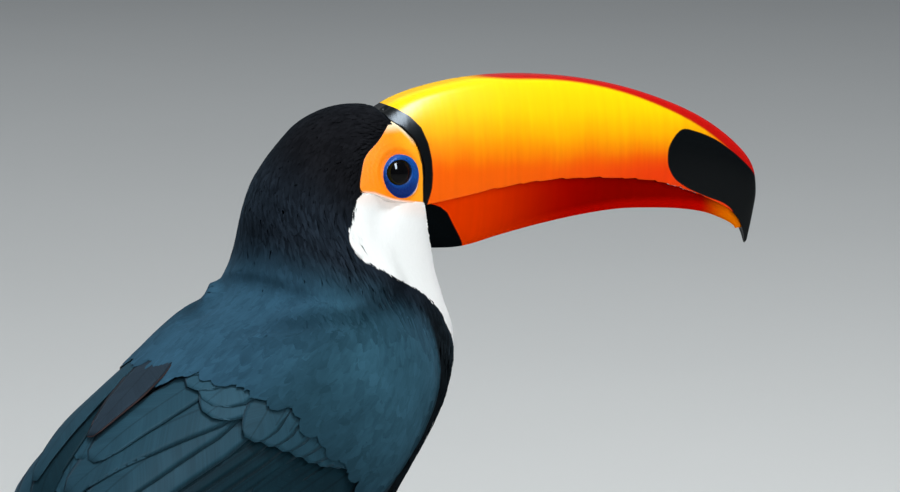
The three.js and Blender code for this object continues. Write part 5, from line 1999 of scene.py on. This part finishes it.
def toe_path(side, size):
    """A toe's middle line with its radius: it bends round the branch at a steady turn, moves out
    by a sine, narrows evenly, and swells a little at each joint."""
    end, out, root, tip = size
    rows = []
    for share in np.linspace(0, 1, 9):
        radius = root + (tip - root) * share
        y = -side * (FOOT_SPREAD + out * math.sin(share * math.pi / 2))
        x, y, z = grip_point(end * share * 1.03, radius + 0.35, y)
        joint = 1 + 0.07 * math.cos(share * 2 * math.pi * 2.5)
        rows.append([share * 8, x, y, z, radius * joint])
    return curve_through(rows)


def claw_path(side, size):
    """A claw's middle line with its radius: on round the branch from the toe's end, arched away
    from the bark by a half sine, and narrowed to its tip by a power."""
    end, out, _, tip = size
    rows = []
    for i, share in enumerate(np.linspace(-0.12, 1, 9)):
        radius = tip * 0.74 * max(0.0, 1 - max(share, 0)) ** 0.75 + 0.16
        reach = radius + 0.4 + 1.3 * math.sin(math.pi * max(share, 0))
        x, y, z = grip_point(end + math.copysign(9.5 + 26 * share, end), reach,
                             -side * (FOOT_SPREAD + out))
        rows.append([i, x, y, z, radius])
    return curve_through(rows)


def build_leg(name):
    """A leg below the heel: the shank, a flattened ball as the foot's pad with its four toes, and
    the claws, a little narrower from side to side."""
    side = SIDES[name]
    y = -side * FOOT_SPREAD
    skin = bpy.data.materials.get("leg_scales") or scale_finish("leg_scales", palette())
    horn = bpy.data.materials.get("claw_horn") or horn_finish(palette())
    shank = curve_through([[i, x, y, z, radius] for i, ((x, z), radius) in
                           enumerate(zip(SHANK, SHANK_RADII))])
    flat, faces, values = scaled_tube(shank, 3, 150, 56, 13)
    piece = new_piece(f"shank_{name}", flat, faces, skin, values=values)
    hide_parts(f"tarsus_{name}")
    bodies = []
    slope, turn = crossed(np.linspace(0.02, math.pi - 0.02, 30), turns(40))
    pad = np.stack([
        PERCH_X + 6.7 * np.sin(slope) * np.cos(turn),
        y + 6.4 * np.sin(slope) * np.sin(turn),
        PERCH_TOP + 3.9 + 3.9 * np.cos(slope),
    ], -1)
    bodies.append(closed_grid(pad, {"seam": 0.3 * (0.5 + 0.5 * np.sin(turn * 8))}))
    for size in TOES.values():
        bodies.append(scaled_tube(toe_path(side, size), 8, 110, 36, 15))
    flat, faces, values = joined(bodies)
    piece = new_piece(f"toes_{name}", flat, faces, skin, values=values)
    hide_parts(f"foot_{name}")
    for which, size in TOES.items():
        t, turn = crossed(np.linspace(0, 8, 60), turns(32))
        narrow = 1 - 0.16 * np.abs(np.cos(turn))
        path = claw_path(side, size)
        radius = path(t)[3]
        points = tube_point(path, t, turn, radius * (narrow - 1))
        flat, faces, values = closed_grid(points, {"along": t / 8})
        piece = new_piece(f"horn_{name}_{which}", flat, faces, horn, values=values)
        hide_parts(f"claw_{name}_{which}")


# ---- branch and stand ----

SAWN_RINGS = 26  # rings of points on each sawn end

def build_branch():
    """The branch: a wandering round bar with knobs between the feet, bark plates as fine
    displacement, and sawn ends, slightly dished."""
    half = PERCH_LENGTH / 2
    y, turn = crossed(np.linspace(-half, half, 320), turns(160))
    wander = 1.6 * np.sin(y / 21) + 0.8 * np.sin(y / 9 + 1)
    free = np.clip((np.abs(np.abs(y) - FOOT_SPREAD) - 14) / 20, 0, 1)
    radius = PERCH_RADIUS + 0.9 * np.sin(3 * turn + y / 17) * free + 0.35 * wander * free
    base = np.stack([PERCH_RADIUS * np.sin(turn), y * 0.32, PERCH_RADIUS * np.cos(turn)], -1)
    rough = ripple(base, 9, 9.0)
    radius = radius - 0.25 + (0.18 + 0.55 * free) * (np.abs(rough) * 1.6 - 0.75)
    end = np.clip((np.abs(y) - half + 1.2) / 1.2, 0, 1)
    radius = radius - 0.8 * end**2
    points = np.stack([PERCH_X + radius * np.sin(turn), y, PERCH_Z + radius * np.cos(turn)], -1)
    share = np.linspace(0.02, 0.985, SAWN_RINGS)[:, None, None]
    middle = np.array([PERCH_X, 0, PERCH_Z])

    def sawn(ring, sign):
        flat = np.array([1, 0, 1.0]) * (ring - middle) * share + middle
        dish = 0.25 * (1 - share[..., 0] ** 2)
        flat[..., 1] = sign * (half - dish)
        return flat

    points = np.concatenate([sawn(points[0], -1), points, sawn(points[-1], 1)[::-1]])
    cut = np.zeros(points.shape[:2])
    cut[:SAWN_RINGS] = 1
    cut[-SAWN_RINGS:] = 1
    ring = np.hypot(points[..., 0] - PERCH_X, points[..., 2] - PERCH_Z)
    flat, faces, values = closed_grid(points, {"cut": cut, "ring": ring})
    branch = new_piece("branch", flat, faces, bark_finish(palette()), values=values)
    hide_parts("stand_perch")


def finish_stand():
    """The base and rods stay as they are, with a lacquer of their own."""
    lacquer = stand_finish(palette())
    for node in ("stand_base", "stand_rod_left", "stand_rod_right"):
        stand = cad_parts[node]
        if not stand.material_slots:
            stand.data.materials.append(lacquer)
        for slot in stand.material_slots:
            slot.material = lacquer


# ---- studio ----

PICTURE = (900, 492)  # pixels across and down
EYE_PIXEL = (401, 175)  # where the right eye stands in the picture
SENSOR = 36.0  # width of the camera's sensor, in millimetres
FLOOR_SIDES = 96
EYE_PLACE = (17.35, -36.28, 0.0)  # close to the front of the right eye, in the bird's frame


def view_axes(azimuth, elevation):
    """Right, up and forward of a camera that looks down by the elevation."""
    forward = np.array([math.cos(elevation) * math.sin(azimuth),
                        math.cos(elevation) * math.cos(azimuth), -math.sin(elevation)])
    right = unit(np.cross(forward, [0, 0, 1.0]))
    return right, np.cross(right, forward), forward


def build_stage():
    """The camera, the floor, a round disc, the four lights and the surroundings."""
    stage = bpy.context.scene.toucan_stage
    scene = bpy.context.scene
    scene.view_settings.view_transform = "Standard"
    right, up, forward = view_axes(stage.azimuth, stage.elevation)
    eye = metres(np.array(EYE_PLACE))
    pixel = SENSOR / stage.focal / PICTURE[0] * stage.distance
    place = eye - stage.distance * forward
    place = place - right * (EYE_PIXEL[0] - PICTURE[0] / 2) * pixel
    place = place - up * (PICTURE[1] / 2 - EYE_PIXEL[1]) * pixel
    camera = bpy.data.cameras.new("camera")
    camera.lens, camera.sensor_width, camera.sensor_fit = stage.focal, SENSOR, "HORIZONTAL"
    camera.clip_start, camera.clip_end = 0.05, 60
    holder = bpy.data.objects.new("camera", camera)
    turn = np.stack([right, up, -forward], -1)
    holder.matrix_world = Matrix.Translation(place) @ Matrix(turn.tolist()).to_4x4()
    scene.collection.objects.link(holder)
    scene.camera = holder

    rim = turns(FLOOR_SIDES)
    reach = np.array([0.02, 0.5, 2.0, 9.0])[:, None]
    points = np.stack([reach * np.cos(rim), reach * np.sin(rim), 0 * reach * rim], -1)
    mesh = bpy.data.meshes.new("floor")
    flat = np.concatenate([points.reshape(-1, 3), [[0, 0, 0]]])
    fan = [[len(flat) - 1, k, (k + 1) % FLOOR_SIDES] for k in range(FLOOR_SIDES)]
    quads = grid_quads(len(reach), FLOOR_SIDES, closed=True)[:, ::-1].tolist()
    mesh.from_pydata(flat.tolist(), [], quads + fan)
    mesh.materials.append(floor_finish(stage))
    floor = bpy.data.objects.new("floor", mesh)
    scene.collection.objects.link(floor)

    def soft_light(name, spot, size, power, tint):
        """A square soft light at a place, facing the bird."""
        light = bpy.data.lights.new(name, "AREA")
        light.size, light.energy, light.color = size, power, tint
        lamp = bpy.data.objects.new(name, light)
        facing = unit(eye - spot)
        side = unit(np.cross(facing, [0.01, 0.02, 1.0]))
        axes = np.stack([side, np.cross(side, facing), -facing], -1)
        lamp.matrix_world = Matrix.Translation(spot) @ Matrix(axes.tolist()).to_4x4()
        scene.collection.objects.link(lamp)
        return lamp

    soft_light("key", eye + right * 0.15 + up * 1.4 - forward * 0.45, 0.27, stage.key,
               (0.97, 0.99, 1.0))
    soft_light("fill", eye + right * 0.6 + up * 0.85 - forward * 1.9, 2.4, stage.fill,
               (1.0, 0.99, 0.97))
    soft_light("sky", eye - right * 0.9 + forward * 0.8 + np.array([0, 0, 3.0]), 5.0, stage.sky,
               (0.93, 0.97, 1.0))
    strip = soft_light("gloss", eye + right * 0.2 + up * 1.05 - forward * 1.05, 0.35, stage.gloss,
                       (0.74, 0.87, 1.0))
    strip.data.shape = "RECTANGLE"
    strip.data.size_y = 1.15
    strip.visible_diffuse = False
    bpy.data.objects["fill"].visible_glossy = False
    world = bpy.data.worlds.new("studio")
    world.use_nodes = True
    background = world.node_tree.nodes["Background"]
    background.inputs["Color"].default_value = (0.86, 0.92, 1.0, 1)
    background.inputs["Strength"].default_value = stage.world
    scene.world = world


# ---- operators and panel ----


class TOUCAN_OT_skin(bpy.types.Operator):
    """Draw the one skin under the coat"""

    bl_idname = "toucan.skin"
    bl_label = "Skin"

    def execute(self, context):
        build_skin()
        return {"FINISHED"}


class TOUCAN_OT_faces(bpy.types.Operator):
    """Build the bare patch and the ring round each eye"""

    bl_idname = "toucan.faces"
    bl_label = "Faces"

    def execute(self, context):
        for name in SIDES:
            build_face(name)
        return {"FINISHED"}


class TOUCAN_OT_eyes(bpy.types.Operator):
    """Build the eyeballs"""

    bl_idname = "toucan.eyes"
    bl_label = "Eyes"

    def execute(self, context):
        for name in SIDES:
            build_eye(name)
        return {"FINISHED"}


class TOUCAN_OT_bill(bpy.types.Operator):
    """Build both halves of the bill"""

    bl_idname = "toucan.bill"
    bl_label = "Bill"

    def execute(self, context):
        for name in BILL_END:
            build_bill_half(name)
        return {"FINISHED"}


class TOUCAN_OT_head_coat(bpy.types.Operator):
    """Grow the feathers of the head and neck"""

    bl_idname = "toucan.head_coat"
    bl_label = "Head feathers"

    def execute(self, context):
        build_head_coat()
        return {"FINISHED"}


class TOUCAN_OT_bib_coat(bpy.types.Operator):
    """Grow the white bib"""

    bl_idname = "toucan.bib_coat"
    bl_label = "Bib feathers"

    def execute(self, context):
        build_bib_coat()
        return {"FINISHED"}


class TOUCAN_OT_body_coat(bpy.types.Operator):
    """Grow the feathers of the back, breast and belly"""

    bl_idname = "toucan.body_coat"
    bl_label = "Body feathers"

    def execute(self, context):
        build_body_coat()
        return {"FINISHED"}


class TOUCAN_OT_wings(bpy.types.Operator):
    """Lay the vanes of both folded wings"""

    bl_idname = "toucan.wings"
    bl_label = "Wings"

    def execute(self, context):
        for name in SIDES:
            build_wing(name)
        return {"FINISHED"}


class TOUCAN_OT_tertials(bpy.types.Operator):
    """Lay the left wing's innermost vanes over the back"""

    bl_idname = "toucan.tertials"
    bl_label = "Crossed tertials"

    def execute(self, context):
        build_crossed_tertials()
        return {"FINISHED"}


class TOUCAN_OT_tail(bpy.types.Operator):
    """Lay the tail feathers and their coverts"""

    bl_idname = "toucan.tail"
    bl_label = "Tail"

    def execute(self, context):
        build_tail()
        return {"FINISHED"}


class TOUCAN_OT_thighs(bpy.types.Operator):
    """Grow the feathers of both thighs"""

    bl_idname = "toucan.thighs"
    bl_label = "Thigh feathers"

    def execute(self, context):
        for name in SIDES:
            build_thigh_coat(name)
        return {"FINISHED"}


class TOUCAN_OT_legs(bpy.types.Operator):
    """Build shanks, toes and claws"""

    bl_idname = "toucan.legs"
    bl_label = "Legs"

    def execute(self, context):
        for name in SIDES:
            build_leg(name)
        return {"FINISHED"}


class TOUCAN_OT_branch(bpy.types.Operator):
    """Build the branch"""

    bl_idname = "toucan.branch"
    bl_label = "Branch"

    def execute(self, context):
        build_branch()
        return {"FINISHED"}


class TOUCAN_OT_stand(bpy.types.Operator):
    """Finish the base and the rods"""

    bl_idname = "toucan.stand"
    bl_label = "Stand"

    def execute(self, context):
        finish_stand()
        return {"FINISHED"}


class TOUCAN_OT_stage(bpy.types.Operator):
    """Set up the floor, the lights and the camera"""

    bl_idname = "toucan.stage"
    bl_label = "Studio"

    def execute(self, context):
        build_stage()
        return {"FINISHED"}


OPERATORS = [
    TOUCAN_OT_skin,
    TOUCAN_OT_faces,
    TOUCAN_OT_eyes,
    TOUCAN_OT_bill,
    TOUCAN_OT_head_coat,
    TOUCAN_OT_bib_coat,
    TOUCAN_OT_body_coat,
    TOUCAN_OT_wings,
    TOUCAN_OT_tertials,
    TOUCAN_OT_tail,
    TOUCAN_OT_thighs,
    TOUCAN_OT_legs,
    TOUCAN_OT_branch,
    TOUCAN_OT_stand,
    TOUCAN_OT_stage,
]


class TOUCAN_PT_panel(bpy.types.Panel):
    """Lists the pieces of the toucan."""

    bl_label = "Toucan"
    bl_idname = "TOUCAN_PT_panel"
    bl_space_type = "VIEW_3D"
    bl_region_type = "UI"
    bl_category = "Toucan"

    def draw(self, context):
        for one in OPERATORS:
            self.layout.operator(one.bl_idname)
        for group in (context.scene.toucan_sizes, context.scene.toucan_colours,
                      context.scene.toucan_stage):
            box = self.layout.box()
            for key in group.__annotations__:
                box.prop(group, key)


CLASSES = [ToucanSizes, ToucanColours, ToucanStage, *OPERATORS, TOUCAN_PT_panel]


def register():
    """Makes the sizes, colours, operators and panel known."""
    for one in CLASSES:
        bpy.utils.register_class(one)
    bpy.types.Scene.toucan_sizes = PointerProperty(type=ToucanSizes)
    bpy.types.Scene.toucan_colours = PointerProperty(type=ToucanColours)
    bpy.types.Scene.toucan_stage = PointerProperty(type=ToucanStage)


def unregister():
    """Takes them away again."""
    del bpy.types.Scene.toucan_sizes, bpy.types.Scene.toucan_colours, bpy.types.Scene.toucan_stage
    for one in reversed(CLASSES):
        bpy.utils.unregister_class(one)


def corners(box):
    """A box's corners as plain numbers."""
    return [[float(value) for value in corner] for corner in box]


def main():
    """Builds all pieces in order."""
    register()
    for one in OPERATORS:
        group, name = one.bl_idname.split(".")
        getattr(getattr(bpy.ops, group), name)()


if __name__ == "__main__":
    main()
